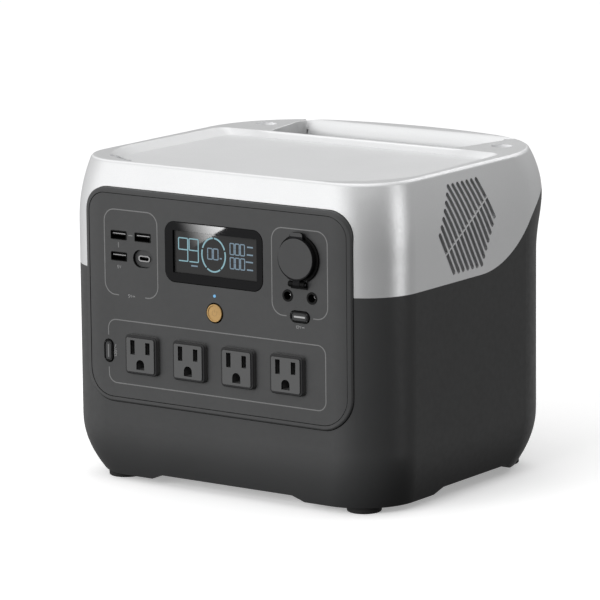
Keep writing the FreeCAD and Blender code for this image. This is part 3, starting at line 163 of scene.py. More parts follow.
class Surface:
    """A procedural material built from the object's own coordinates."""

    def __init__(self, name, roughness, metallic=0.0, specular=0.5):
        self.material = bpy.data.materials.new(name)
        self.material.use_nodes = True
        self.tree = self.material.node_tree
        self.shader = self.tree.nodes["Principled BSDF"]
        self.shader.inputs["Metallic"].default_value = metallic
        self.shader.inputs["Roughness"].default_value = roughness
        self.shader.inputs["Specular IOR Level"].default_value = specular
        self.place = self.tree.nodes.new("ShaderNodeTexCoord")
        self.axes = self.split(self.place.outputs["Object"])
        self.normal = self.split(self.place.outputs["Normal"])
        self.colour = None

    def feed(self, socket, value):
        """Gives a socket a number, a colour or another node's output."""
        if isinstance(value, bpy.types.NodeSocket):
            self.tree.links.new(value, socket)
        elif isinstance(value, tuple) and socket.type == "RGBA":
            socket.default_value = (*value, 1.0)
        else:
            socket.default_value = value

    def split(self, vector):
        made = self.tree.nodes.new("ShaderNodeSeparateXYZ")
        self.feed(made.inputs[0], vector)
        return {"X": made.outputs[0], "Y": made.outputs[1], "Z": made.outputs[2]}

    def calculate(self, operation, first, second=0.0):
        made = self.tree.nodes.new("ShaderNodeMath")
        made.operation = operation
        self.feed(made.inputs[0], first)
        self.feed(made.inputs[1], second)
        return made.outputs[0]

    def remap(self, value, from_low, from_high, low=0.0, high=1.0):
        made = self.tree.nodes.new("ShaderNodeMapRange")
        for key, number in (("From Min", from_low), ("From Max", from_high),
                            ("To Min", low), ("To Max", high)):
            made.inputs[key].default_value = number
        self.feed(made.inputs["Value"], value)
        return made.outputs[0]

    def blend(self, factor, first, second):
        made = self.tree.nodes.new("ShaderNodeMix")
        made.data_type = "RGBA"
        self.feed(made.inputs[0], factor)
        self.feed(made.inputs[6], first)
        self.feed(made.inputs[7], second)
        return made.outputs[2]

    def noise(self, size, detail=2.0, stretch=(1.0, 1.0, 1.0)):
        """Soft noise from 0 to 1, with lumps about this size."""
        mapping = self.tree.nodes.new("ShaderNodeMapping")
        mapping.inputs["Scale"].default_value = [share / size for share in stretch]
        self.feed(mapping.inputs["Vector"], self.place.outputs["Object"])
        made = self.tree.nodes.new("ShaderNodeTexNoise")
        made.inputs["Scale"].default_value = 1.0
        made.inputs["Detail"].default_value = detail
        self.feed(made.inputs["Vector"], mapping.outputs[0])
        return made.outputs[0]

    def tint(self, colour, drift=0.06, drift_size=0.05, speck=0.05, speck_size=0.0008):
        """The base colour, drifting slowly over the surface and with a fine speckle on it."""
        darker = tuple(channel * (1.0 - drift) for channel in colour)
        lighter = tuple(channel * (1.0 + drift) for channel in colour)
        slow = self.blend(self.remap(self.noise(drift_size), 0.3, 0.7), darker, lighter)
        deep = tuple(channel * (1.0 - 2.0 * speck) for channel in colour)
        fine = self.remap(self.noise(speck_size, detail=1.0), 0.35, 0.75, 0.0, 0.5)
        self.colour = self.blend(fine, slow, deep)

    def overlay(self, mask, colour):
        self.colour = self.blend(mask, self.colour, colour)

    def rough(self, low, high, size=0.004):
        """Roughness that wanders between two values."""
        self.feed(self.shader.inputs["Roughness"], self.remap(self.noise(size), 0.3, 0.7, low, high))

    def grain(self, size, depth, detail=2.0, stretch=(1.0, 1.0, 1.0)):
        """Moulded or sprayed texture: a fine bump of this size and depth."""
        made = self.tree.nodes.new("ShaderNodeBump")
        made.inputs["Distance"].default_value = depth
        self.feed(made.inputs["Height"], self.noise(size, detail, stretch))
        self.feed(self.shader.inputs["Normal"], made.outputs[0])

    def beyond(self, axis, level, blur=0.00004):
        """1 where the coordinate is above the level, 0 below it."""
        return self.remap(self.axes[axis], level - blur, level + blur)

    def below(self, axis, level, blur=0.00004):
        return self.remap(self.axes[axis], level - blur, level + blur, 1.0, 0.0)

    def near(self, axis, middle, half, blur=0.00004):
        """1 within half of the middle along one axis."""
        offset = self.calculate("ABSOLUTE", self.calculate("SUBTRACT", self.axes[axis], middle))
        return self.remap(offset, half - blur, half + blur, 1.0, 0.0)

    def within_radius(self, x, z, radius, blur=0.00004):
        """1 inside a circle on the front panel."""
        across = self.calculate("SUBTRACT", self.axes["X"], x)
        up = self.calculate("SUBTRACT", self.axes["Z"], z)
        squares = self.calculate("ADD", self.calculate("MULTIPLY", across, across),
                                 self.calculate("MULTIPLY", up, up))
        return self.remap(self.calculate("SQRT", squares), radius - blur, radius + blur, 1.0, 0.0)

    def within_pill(self, middle, across, tall, blur=0.00004):
        """1 inside a level shape with round ends on the front panel."""
        along = self.calculate("ABSOLUTE", self.calculate("SUBTRACT", self.axes["X"], middle.x))
        past = self.calculate("MAXIMUM", self.calculate("SUBTRACT", along, (across - tall) / 2))
        up = self.calculate("SUBTRACT", self.axes["Z"], middle.z)
        squares = self.calculate("ADD", self.calculate("MULTIPLY", past, past),
                                 self.calculate("MULTIPLY", up, up))
        return self.remap(self.calculate("SQRT", squares), tall / 2 - blur, tall / 2 + blur,
                          1.0, 0.0)

    def sideways(self, axis, steep=0.5):
        """1 on faces that turn away from this axis, such as the walls of a slot."""
        return self.remap(self.calculate("ABSOLUTE", self.normal[axis]), steep - 0.1, steep + 0.1,
                          1.0, 0.0)

    def facing(self, axis):
        """1 on faces that look along this axis, either way."""
        return self.remap(self.sideways(axis), 0.0, 1.0, 1.0, 0.0)

    def both(self, first, second):
        return self.calculate("MULTIPLY", first, second)

    def wear(self, *names):
        """Links the colour and puts the material on these CAD nodes."""
        if not self.shader.inputs["Base Color"].is_linked:
            self.feed(self.shader.inputs["Base Color"], self.colour)
        for name in names:
            slots = nodes[name].data.materials
            slots.clear()
            slots.append(self.material)


def centre_of(node):
    low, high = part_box(node)
    return (low + high) / 2


# ---------------------------------------------------------------- colours

SILVER = (0.77, 0.775, 0.78)
BODY = (0.037, 0.0375, 0.038)
PANEL = (0.042, 0.0425, 0.043)
OUTLET_FACE = (0.077, 0.0775, 0.078)
COVER_FACE = (0.058, 0.0585, 0.059)
BLACK = (0.008, 0.008, 0.0085)
# Near black: black plastic, and painted shade on the walls of holes and recesses.
BLACK_AND_SHADE = (0.003, 0.003, 0.003)
GLOSS = (0.004, 0.004, 0.0045)
BRONZE = (0.44, 0.275, 0.105)
PRINT = (0.155, 0.155, 0.155)
FIGURE = (0.25, 0.44, 0.50)
SMALL_FIGURE = (0.19, 0.27, 0.34)
LIGHT_BLUE = (0.20, 0.50, 0.82)
LIGHT_WHITE = (0.31, 0.31, 0.31)
GUIDE_GREY = (0.10, 0.10, 0.10)
LIGHT_GUIDE = (0.06, 0.06, 0.06)
RATING_PRINT = (0.26, 0.26, 0.26)
VENT_WALL_SHADE = (0.55, 0.55, 0.555)
VENT_SCREEN_PAINTED_LIGHT = (0.80, 0.80, 0.81)
OUTLET_BASE = (0.019, 0.019, 0.0195)
SLOT_DEPTH_PAINTED_LIGHT = (0.09, 0.09, 0.09)
TONGUE_HIGHLIGHT = (0.30, 0.30, 0.30)
PORT_RING = (0.26, 0.26, 0.26)
PIN = (0.85, 0.85, 0.85)
WINDOW_FLOOR = (0.027, 0.027, 0.027)
FAN = (0.02, 0.02, 0.021)
RUBBER = (0.018, 0.018, 0.018)
TRAY = (0.03, 0.03, 0.032)
STEEL = (0.42, 0.42, 0.43)
ALUMINIUM = (0.62, 0.63, 0.65)
COPPER = (0.72, 0.38, 0.22)
WINDING = (0.50, 0.25, 0.10)
BOARD = (0.02, 0.10, 0.045)
TRACK = (0.03, 0.16, 0.07)
CELL_FILM = (0.05, 0.16, 0.40)
SLEEVE = (0.015, 0.015, 0.02)
BRONZE_MARK = (0.34, 0.21, 0.09)
PAPER = (0.92, 0.92, 0.92)


def plastic(name, colour, low=0.42, high=0.55, specular=0.4, grain=0.0005, depth=0.000015):
    """Moulded plastic with a fine spark-eroded grain."""
    made = Surface(name, low, specular=specular)
    made.tint(colour)
    made.rough(low, high)
    made.grain(grain, depth)
    return made


def metal(name, colour, low=0.25, high=0.4, stretch=(1.0, 1.0, 1.0), depth=0.000006):
    """Bare or plated metal with fine rolling marks."""
    made = Surface(name, low, metallic=1.0)
    made.tint(colour, drift=0.08, speck=0.06)
    made.rough(low, high)
    made.grain(0.0006, depth, stretch=stretch)
    return made


def glow(name, colour, strength, base=BLACK):
    """A lit figure or light guide, a little uneven like a real one."""
    made = Surface(name, 0.3, specular=0.3)
    made.tint(base)
    dimmer = tuple(channel * 0.86 for channel in colour)
    uneven = made.blend(made.remap(made.noise(0.003), 0.3, 0.7), dimmer, colour)
    made.feed(made.shader.inputs["Emission Color"], uneven)
    made.shader.inputs["Emission Strength"].default_value = strength
    return made


# ---------------------------------------------------------------- shells

silver = Surface("silver_paint", 0.38, metallic=0.65)
silver.tint(SILVER, drift=0.02, speck=0.04, speck_size=0.0005)
silver.rough(0.34, 0.42, size=0.002)
silver.grain(0.0004, 0.000004, detail=1.0)
filter_low, filter_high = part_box("dust_filter_right")
vent_middle = (filter_low + filter_high) / 2
vent_half = (filter_high.z - filter_low.z) / 2 + 4 * MM
vent_zone = silver.both(silver.near("Y", vent_middle.y, vent_half),
                        silver.near("Z", vent_middle.z, vent_half))
# Painted shade: the walls of the vent slots are a darker silver than the case.
silver.overlay(silver.both(vent_zone, silver.sideways("X")), VENT_WALL_SHADE)
tray_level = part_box("top_shell")[1].z - 0.3 * MM
in_tray = silver.both(silver.below("Z", tray_level), silver.remap(silver.normal["Z"], 0.6, 0.8))
in_well = silver.both(silver.both(silver.near("X", 0.0, 105 * MM),
                                  silver.near("Y", 85 * MM, 37 * MM)),
                      silver.below("Z", tray_level))
satin = silver.calculate("MAXIMUM", in_tray, in_well)
silver.feed(silver.shader.inputs["Metallic"], silver.remap(satin, 0.0, 1.0, 0.65, 0.2))
silver.wear("top_shell")

body = plastic("body_plastic", BODY, 0.40, 0.48, specular=0.36)
body.wear("lower_shell", "grip_scoop", "grip_underside")

frame_finish = plastic("frame_plastic", PANEL, 0.40, 0.46, specular=0.38, grain=0.0004, depth=0.00001)
frame_finish.wear("front_frame")

panel = plastic("panel_plastic", PANEL, 0.40, 0.48, specular=0.38, grain=0.0004, depth=0.00001)
# Painted shade: the walls of the panel's holes and its side edges are near black.
panel.overlay(panel.sideways("Y"), BLACK_AND_SHADE)
panel.wear("front_panel", "rear_input_plate")

# ---------------------------------------------------------------- outlets and sockets

outlet_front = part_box("ac_outlet_1")[0].y
outlets = plastic("outlet_plastic", OUTLET_BASE, 0.4, 0.5, specular=0.22, grain=0.0003,
                  depth=0.000006)
# Painted light: deeper than 1.5 mm the outlets are a lighter grey, so the blade slots do not read
# black.
outlets.overlay(outlets.beyond("Y", outlet_front + 1.5 * MM), SLOT_DEPTH_PAINTED_LIGHT)
face = outlets.below("Y", outlet_front + 0.45 * MM)
outlets.overlay(outlets.both(face, outlets.facing("Y")), OUTLET_FACE)
outlets.wear("ac_outlet_1", "ac_outlet_2", "ac_outlet_3", "ac_outlet_4")


def pill_finish(button, across, tall):
    """Black rim round a grey face, on one oval button."""
    middle = centre_of(button)
    made = plastic(button + "_plastic", BLACK_AND_SHADE, 0.4, 0.5, specular=0.12, grain=0.0003,
                   depth=0.000005)
    inner = made.both(made.near("X", middle.x, across / 2), made.near("Z", middle.z, tall / 2))
    made.overlay(inner, PANEL)
    made.wear(button)


pill_finish("dc_button", 12.8 * MM, 5.3 * MM)
pill_finish("ac_button", 5.0 * MM, 12.6 * MM)

for port in ("usb_a_port_1", "usb_a_port_2", "usb_a_port_3"):
    middle = centre_of(port)
    tongue = plastic(port + "_plastic", BLACK_AND_SHADE, 0.4, 0.5, specular=0.1)
    # Painted highlight: a grey strip on the tongue's front face stands for its lit top face.
    lit_strip = tongue.both(tongue.near("X", middle.x, 5.4 * MM),
                           tongue.near("Z", middle.z + 1.0 * MM, 0.28 * MM))
    tongue.overlay(tongue.both(lit_strip, tongue.facing("Y")), TONGUE_HIGHLIGHT)
    tongue.wear(port)

cup = centre_of("usb_c_port")
usb_c = plastic("usb_c_plastic", PANEL, 0.4, 0.5, specular=0.3)
ring_zone = usb_c.within_pill(cup, 9.9 * MM, 4.3 * MM)
# Painted shade: the cup's walls and the inside of the opening are near black.
usb_c.overlay(usb_c.sideways("Y"), BLACK_AND_SHADE)
usb_c.overlay(usb_c.both(ring_zone, usb_c.facing("Y")), PORT_RING)
hole_zone = usb_c.within_pill(cup, 7.9 * MM, 2.6 * MM)
usb_c.overlay(usb_c.both(hole_zone, usb_c.beyond("Y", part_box("usb_c_port")[0].y + 0.15 * MM)),
              BLACK_AND_SHADE)
usb_c.wear("usb_c_port")

for jack in ("dc_jack_left", "dc_jack_right"):
    middle = centre_of(jack)
    jack_finish = plastic(jack + "_plastic", BLACK_AND_SHADE, 0.35, 0.45, specular=0.15)
    pin = jack_finish.within_radius(middle.x, middle.z, 1.1 * MM)
    jack_finish.overlay(pin, PIN)
    jack_finish.feed(jack_finish.shader.inputs["Metallic"], pin)
    jack_finish.wear(jack)

plastic("socket_plastic", BLACK_AND_SHADE, 0.45, 0.6, specular=0.12).wear("car_socket", "cover_hinge_base")
cover = plastic("cover_rubber", BLACK, 0.5, 0.65, specular=0.12, grain=0.0006)
socket_middle = centre_of("car_socket")
cover_low, cover_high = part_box("car_socket_cover")
# Painted shade: the cover's sides and a 0.45 mm band round its face stay black; only the front faces
# of the disc and tab are grey.
disc_radius = (cover_high.x - cover_low.x) / 2 - 0.45 * MM
disc = cover.both(cover.below("Y", cover_low.y + 0.3 * MM),
                  cover.within_radius(socket_middle.x, socket_middle.z, disc_radius))
tab = cover.both(cover.near("X", socket_middle.x, 4.9 * MM),
                 cover.near("Z", socket_middle.z + 16.0 * MM, 1.5 * MM))
cover.overlay(cover.both(cover.calculate("MAXIMUM", disc, tab), cover.facing("Y")), COVER_FACE)
cover.wear("car_socket_cover")
plastic("inlet_plastic", BLACK, 0.35, 0.5, specular=0.3).wear("ac_inlet", "dc_inlet",
                                                              "reset_button")
plastic("fan_plastic", FAN, 0.35, 0.5).wear(
    "fan_frame_left", "fan_frame_right", "fan_rotor_left", "fan_rotor_right")
plastic("foot_rubber", RUBBER, 0.6, 0.75, specular=0.2, grain=0.0007,
        depth=0.00003).wear("foot_front_left", "foot_front_right", "foot_rear_left",
                            "foot_rear_right")
plastic("tray_plastic", TRAY, 0.4, 0.5).wear("battery_tray", "battery_frame")

# ---------------------------------------------------------------- metal and electrical parts

metal("screw_steel", STEEL).wear("case_screws", "cover_hinge_pin")
metal("heat_sink_aluminium", ALUMINIUM, 0.3, 0.45,
      stretch=(0.05, 1.0, 1.0)).wear("heat_sink")
metal("bar_copper", COPPER, 0.25, 0.4, stretch=(1.0, 0.05, 1.0)).wear("bus_bars")


def circuit_finish():
    """Green board with darker tracks."""
    made = plastic("circuit_board", BOARD, 0.3, 0.45, grain=0.001)
    tracks = made.remap(made.noise(0.002, stretch=(0.2, 1.0, 1.0)), 0.48, 0.52)
    made.overlay(made.calculate("MULTIPLY", tracks, 0.5), TRACK)
    made.wear("main_board", "battery_board", "front_board", "display_module")


circuit_finish()
plastic("cell_film", CELL_FILM, 0.25, 0.4, grain=0.004, depth=0.00003).wear(
    *[f"battery_cell_{number}" for number in range(1, 7)])
plastic("capacitor_sleeve", SLEEVE, 0.25, 0.35).wear("capacitor_1", "capacitor_2")
metal("transformer_winding", WINDING, 0.35, 0.5, depth=0.00005,
      stretch=(1.0, 1.0, 0.1)).wear("transformer")

# ---------------------------------------------------------------- power button and lights

button = Surface("bronze_button", 0.4, metallic=0.45)
button.tint(BRONZE, drift=0.05, drift_size=0.006, speck=0.05, speck_size=0.0004)
button.rough(0.36, 0.46, size=0.001)
button.grain(0.0003, 0.000004)
button.overlay(button.beyond("Y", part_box("power_button")[0].y + 1.2 * MM), BLACK_AND_SHADE)
button.wear("power_button")
glow("power_light", LIGHT_BLUE, 1.0).wear("power_light_guide")
glow("button_light", LIGHT_WHITE, 1.0, base=GUIDE_GREY).wear("dc_button_light")
# Painted glow: the AC button's light is off, yet its bar glows a faint grey.
glow("ac_button_light_painted_glow", GUIDE_GREY, 1.0, base=LIGHT_GUIDE).wear("ac_button_light")

# ---------------------------------------------------------------- pieces made here


def add_piece(name, mesh, surface, body_name):
    """Makes an object of the mesh, with its material, body and slot."""
    data = bpy.data.meshes.new(name)
    bmesh.ops.recalc_face_normals(mesh, faces=mesh.faces)
    mesh.to_mesh(data)
    mesh.free()
    piece = bpy.data.objects.new(name, data)
    bpy.context.scene.collection.objects.link(piece)
    surface.feed(surface.shader.inputs["Base Color"], surface.colour)
    data.materials.append(surface.material)
    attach(piece, body_name)
    return piece


def rounded_loop(x, z, across, tall, radius, steps=10):
    """Points of a rounded rectangle on the front, anticlockwise from its right side."""
    points = []
    for quarter, (sx, sz) in enumerate(((1, 1), (-1, 1), (-1, -1), (1, -1))):
        corner = Vector((x + sx * (across / 2 - radius), z + sz * (tall / 2 - radius)))
        for step in range(steps + 1):
            angle = math.pi / 2 * (quarter + step / steps)
            points.append(corner + radius * Vector((math.cos(angle), math.sin(angle))))
    return points


def surface_tree(node):
    """A node's surface, ready for rays."""
    source = nodes[node].data
    return BVHTree.FromPolygons([v.co for v in source.vertices],
                                [tuple(p.vertices) for p in source.polygons])


def panel_surface(node):
    """Gives the depth of the front of a node at a place on it."""
    tree = surface_tree(node)
    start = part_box(node)[0].y - 0.01

    def depth(x, z):
        hit = tree.ray_cast(Vector((x, start, z)), Vector((0, 1, 0)))[0]
        return hit.y if hit else None

    return depth


def strip(mesh, points, width, depth_at, rise, closed=False):
    """A raised printed line along points on the front."""
    count = len(points)
    rails = []
    for i, point in enumerate(points):
        before = points[i - 1] if i or closed else point
        after = points[(i + 1) % count] if i < count - 1 or closed else point
        along = (after - before).normalized()
        side = Vector((-along.y, along.x)) * width / 2
        y = depth_at(point.x, point.y)
        rails.append([mesh.verts.new((p.x, y - lift, p.y))
                      for p, lift in ((point - side, 0), (point - side, rise),
                                      (point + side, rise), (point + side, 0))])
    last = count if closed else count - 1
    for i in range(last):
        here, there = rails[i], rails[(i + 1) % count]
        for k in range(3):
            mesh.faces.new((here[k], here[k + 1], there[k + 1], there[k]))
        mesh.faces.new((here[3], here[0], there[0], there[3]))
    if not closed:
        mesh.faces.new(rails[0])
        mesh.faces.new(rails[-1][::-1])


def cut_gap(points, outside):
    """Opens a closed line: keeps its points outside a gap, starting just after the gap."""
    keep = [outside(point) for point in points]
    start = next(i for i in range(len(points)) if keep[i] and not keep[i - 1])
    turned = points[start:] + points[:start]
    return [point for point in turned if outside(point)]


def dense(points, pitch=0.8 * MM):
    """The same closed line with points no further apart than the pitch."""
    result = []
    for i, point in enumerate(points):
        after = points[(i + 1) % len(points)]
        pieces = max(1, math.ceil((after - point).length / pitch))
        result += [point.lerp(after, k / pieces) for k in range(pieces)]
    return result


on_panel = panel_surface("front_panel")
LINE = 0.75 * MM
RISE = 0.05 * MM


def group_line(mesh, left, right, low, high, radius, outside):
    loop = dense(rounded_loop((left + right) / 2, (low + high) / 2, right - left, high - low,
                              radius))
    strip(mesh, cut_gap(loop, outside), LINE, on_panel, RISE)


def printed_lines():
    """The thin lines that group the sockets, and the marks beside them."""
    mesh = bmesh.new()
    usb_low, usb_high = 133.2 * MM, 192.1 * MM
    group_line(mesh, -92.4 * MM, -47.5 * MM, usb_low, usb_high, 8.5 * MM,
               lambda p: p.y > usb_low + 1 * MM or abs(p.x + 69.7 * MM) > 10.8 * MM)
    group_line(mesh, 47.4 * MM, 92.3 * MM, usb_low, usb_high, 8.5 * MM,
               lambda p: p.y > usb_low + 1 * MM or abs(p.x - 69.9 * MM) > 10.6 * MM)
    ac_edge = 90.3 * MM
    group_line(mesh, -ac_edge, ac_edge, 71.8 * MM, 115.8 * MM, 6.5 * MM,
               lambda p: p.x > -ac_edge + 1 * MM or abs(p.y - 93.6 * MM) > 10.6 * MM)
    strip(mesh, [Vector((x * MM, 175.0 * MM)) for x in (-72.0, -70.0, -68.4)], LINE, on_panel, RISE)
    strip(mesh, [Vector((-80.5 * MM, z * MM)) for z in (166.0, 168.0, 169.7)], LINE, on_panel, RISE)
    return mesh


GLYPHS = {
    "0": (((0, 0), (0, 1), (0.6, 1), (0.6, 0), (0, 0)),),
    "1": (((0.1, 0.8), (0.35, 1), (0.35, 0)),),
    "2": (((0, 0.85), (0.15, 1), (0.45, 1), (0.6, 0.85), (0.6, 0.6), (0, 0), (0.6, 0)),),
    "5": (((0.6, 1), (0.05, 1), (0, 0.55), (0.4, 0.6), (0.6, 0.4), (0.6, 0.15), (0.4, 0),
           (0, 0.05)),),
    "V": (((0, 1), (0.3, 0), (0.6, 1)),),
    "direct": (((0, 0.62), (1.1, 0.62)), ((0, 0.34), (0.25, 0.34)), ((0.42, 0.34), (0.67, 0.34)),
               ((0.85, 0.34), (1.1, 0.34))),
    "alternating": (tuple((k * 0.1, 0.5 + 0.22 * math.sin(k * 0.1 * 2 * math.pi))
                          for k in range(11)),),
}


def rating(mesh, glyphs, x, z, tall, upward=False):
    """A printed voltage figure with its current sign, centred on a place on the panel."""
    advance = [max(px for line in GLYPHS[g] for px, _ in line) + 0.35 for g in glyphs]
    cursor = -(sum(advance) - 0.35) / 2
    for glyph, step in zip(glyphs, advance):
        for line in GLYPHS[glyph]:
            points = []
            for px, pz in line:
                across = (cursor + px) * tall
                up = (pz - 0.5) * tall
                turned = (x - up, z + across) if upward else (x + across, z + up)
                points.append(Vector(turned))
            strip(mesh, points, 0.17 * tall, on_panel, RISE)
        cursor += step


def ratings():
    """The figures beside the buttons and sockets."""
    mesh = bmesh.new()
    tall = 1.9 * MM
    rating(mesh, ("1", "2", "V", "direct"), 69.9 * MM, 126.4 * MM, tall)
    rating(mesh, ("1", "2", "0", "V", "alternating"), -84.6 * MM, 94.2 * MM, tall, upward=True)
    rating(mesh, ("5", "V"), -80.2 * MM, 152.6 * MM, tall)
    rating(mesh, ("5", "V", "direct"), -69.9 * MM, 133.2 * MM, tall)
    return mesh


ink = plastic("printed_ink", PRINT, 0.5, 0.6, specular=0.2, grain=0.0003, depth=0.000004)
add_piece("printed_lines", printed_lines(), ink, "case")
small_ink = plastic("printed_rating", RATING_PRINT, 0.5, 0.6, specular=0.2, grain=0.0003,
                    depth=0.000004)
add_piece("printed_ratings", ratings(), small_ink, "case")


def stroke(mesh, points, width, y, rise, closed=False):
    """A flat-topped line of figures at one depth."""
    strip(mesh, [Vector(p) for p in points], width, lambda x, z: y, rise, closed)


# ---------------------------------------------------------------- display

lens_low, lens_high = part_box("display_lens")
lens_middle = (lens_low + lens_high) / 2
WINDOW_DEPTH = 2.0 * MM
WINDOW_LEFT = -34.3 * MM
WINDOW_RIGHT = 35.2 * MM
WINDOW_LOW = 153.2 * MM
WINDOW_HIGH = 182.4 * MM
window_floor = lens_low.y + WINDOW_DEPTH


def rings_to_mesh(rings):
    """Joins loops with equal point counts, one after the other, and closes both ends."""
    mesh = bmesh.new()
    made = [[mesh.verts.new((p.x, y, p.y)) for p in loop] for loop, y in rings]
    for here, there in zip(made, made[1:]):
        for i in range(len(here)):
            j = (i + 1) % len(here)
            mesh.faces.new((here[i], here[j], there[j], there[i]))
    mesh.faces.new(made[0])
    mesh.faces.new(made[-1][::-1])
    return mesh


def lens_mesh():
    """The lens: rounded edge, flat bezel and a window let into it."""
    across = lens_high.x - lens_low.x
    tall = lens_high.z - lens_low.z
    corner = 7.85 * MM
    edge = 0.5 * MM
    rings = [(rounded_loop(lens_middle.x, lens_middle.z, across, tall, corner), lens_high.y)]
    for step in range(5):
        angle = math.pi / 8 * step
        inset = edge * (1 - math.cos(angle))
        depth = lens_low.y + edge * (1 - math.sin(angle))
        rings.append((rounded_loop(lens_middle.x, lens_middle.z, across - 2 * inset,
                                   tall - 2 * inset, corner - inset), depth))
    x = (WINDOW_LEFT + WINDOW_RIGHT) / 2
    z = (WINDOW_LOW + WINDOW_HIGH) / 2
    wide = WINDOW_RIGHT - WINDOW_LEFT
    high = WINDOW_HIGH - WINDOW_LOW
    rings.append((rounded_loop(x, z, wide, high, 0.6 * MM), lens_low.y))
    rings.append((rounded_loop(x, z, wide - 0.2 * MM, high - 0.2 * MM, 0.5 * MM),
                  lens_low.y + 0.1 * MM))
    rings.append((rounded_loop(x, z, wide - 0.2 * MM, high - 0.2 * MM, 0.5 * MM), window_floor))
    return rings_to_mesh(rings)


glass = Surface("display_glass", 0.02, specular=0.10)
glass.tint(GLOSS, drift=0.1, speck=0.0)
glass.rough(0.015, 0.03, size=0.02)
glass.overlay(glass.both(glass.beyond("Y", window_floor - 0.3 * MM),
                         glass.facing("Y")), WINDOW_FLOOR)
lens = add_piece("display_glass", lens_mesh(), glass, "case")
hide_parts("display_lens")

SEGMENT_GAP = 0.12
SEGMENTS = {
    "top": ((0.0, 1.0), (1.0, 1.0)),
    "middle": ((0.0, 0.5), (1.0, 0.5)),
    "bottom": ((0.0, 0.0), (1.0, 0.0)),
    "upper_left": ((0.0, 0.5), (0.0, 1.0)),
    "upper_right": ((1.0, 0.5), (1.0, 1.0)),
    "lower_left": ((0.0, 0.0), (0.0, 0.5)),
    "lower_right": ((1.0, 0.0), (1.0, 0.5)),
}
NINE = ("top", "middle", "bottom", "upper_left", "upper_right", "lower_right")
ZERO = ("top", "bottom", "upper_left", "upper_right", "lower_left", "lower_right")


def digit(mesh, figure, left, low, across, tall, width):
    """One seven-segment figure, its segments separated by small gaps."""
    gap = width * SEGMENT_GAP
    for name in figure:
        (x0, z0), (x1, z1) = SEGMENTS[name]
        start = Vector((left + x0 * across, low + z0 * tall))
        end = Vector((left + x1 * across, low + z1 * tall))
        along = (end - start).normalized() * gap
        stroke(mesh, (start + along, end - along), width, window_floor, 0.1 * MM)


def large_figures():
    mesh = bmesh.new()
    for left in (-30.7, -21.9):
        digit(mesh, NINE, left * MM, 161.6 * MM, 7.6 * MM, 15.6 * MM, 0.75 * MM)
    return mesh


def ring_figure():
    """The charge ring, in five arcs."""
    mesh = bmesh.new()
    gap = 3.0
    breaks = (90.0, 162.0, 234.0, 306.0, 378.0, 450.0)
    for start, end in zip(breaks, breaks[1:]):
        points = []
        for step in range(25):
            angle = math.radians(start + gap + (end - start - 2 * gap) * step / 24)
            points.append(((-1.6 + 9.7 * math.cos(angle)) * MM,
                           (167.9 + 11.4 * math.sin(angle)) * MM))
        stroke(mesh, points, 1.05 * MM, window_floor, 0.1 * MM)
    return mesh


def small_figures():
    """The two digits in the ring, the two rows of three and the dashes beside them."""
    mesh = bmesh.new()
    for left in (-6.5, -1.7):
        digit(mesh, ZERO, left * MM, 164.9 * MM, 3.8 * MM, 7.3 * MM, 0.7 * MM)
    for low in (169.7, 160.1):
        for left in (12.1, 16.4, 20.7):
            digit(mesh, ZERO, left * MM, low * MM, 3.3 * MM, 7.5 * MM, 0.7 * MM)
    for left, right, height in ((26.2, 30.9, 175.9), (25.9, 30.9, 170.7), (24.9, 30.9, 165.8),
                                (25.9, 30.9, 160.5), (-20.3, -15.0, 158.9), (3.5, 5.2, 166.0)):
        stroke(mesh, ((left * MM, height * MM), (right * MM, height * MM)), 0.95 * MM,
               window_floor, 0.1 * MM)
    return mesh


GLARE_FAINT = 0.0
GLARE_BRIGHT = 0.9


def glare_softbox(lens_piece):
    """A graded softbox that only the display's glass mirrors towards the camera."""
    camera = bpy.context.scene.camera.matrix_world.translation
    mirrored = Vector((camera.x, 2 * lens_low.y - camera.y, camera.z))
    edge_high = Vector((11.0 * MM, lens_low.y, 188.4 * MM))
    edge_low = Vector((-22.0 * MM, lens_low.y, 169.8 * MM))
    scale = 1.25
    along = (edge_high - edge_low).normalized()
    upward = along.cross(Vector((0, 1, 0)))
    length = (edge_high - edge_low).length
    height = 60 * MM
    middle = edge_low + along * length / 2 + upward * height / 2
    data = bpy.data.lights.new("glare_softbox", "AREA")
    data.shape = "RECTANGLE"
    data.size = length * scale
    data.size_y = height * scale
    data.energy = 1.0
    data.use_nodes = True
    tree = data.node_tree
    shape = tree.nodes.new("ShaderNodeNewGeometry")
    split = tree.nodes.new("ShaderNodeSeparateXYZ")
    tree.links.new(shape.outputs["Parametric"], split.inputs[0])
    fade = tree.nodes.new("ShaderNodeMapRange")
    fade.interpolation_type = "SMOOTHSTEP"
    fade.inputs["To Min"].default_value = GLARE_FAINT
    fade.inputs["To Max"].default_value = GLARE_BRIGHT
    tree.links.new(split.outputs["X"], fade.inputs["Value"])
    tree.links.new(fade.outputs[0], tree.nodes["Emission"].inputs["Strength"])
    light = bpy.data.objects.new("glare_softbox", data)
    bpy.context.scene.collection.objects.link(light)
    facing = (middle - mirrored).normalized()
    placed = Matrix((along, upward, along.cross(upward))).transposed().to_4x4()
    placed.translation = mirrored + facing * (middle - mirrored).length * scale
    light.matrix_world = placed
    light.visible_diffuse = False
    receivers = bpy.data.collections.new("glare_receivers")
    receivers.objects.link(lens_piece)
    light.light_linking.receiver_collection = receivers


glare_softbox(lens)

add_piece("display_large_figures", large_figures(), glow("figure_light", FIGURE, 1.0), "case")
add_piece("display_ring", ring_figure(), glow("ring_light", FIGURE, 1.0), "case")
add_piece("display_small_figures", small_figures(), glow("small_figure_light", SMALL_FIGURE, 1.0),
          "case")


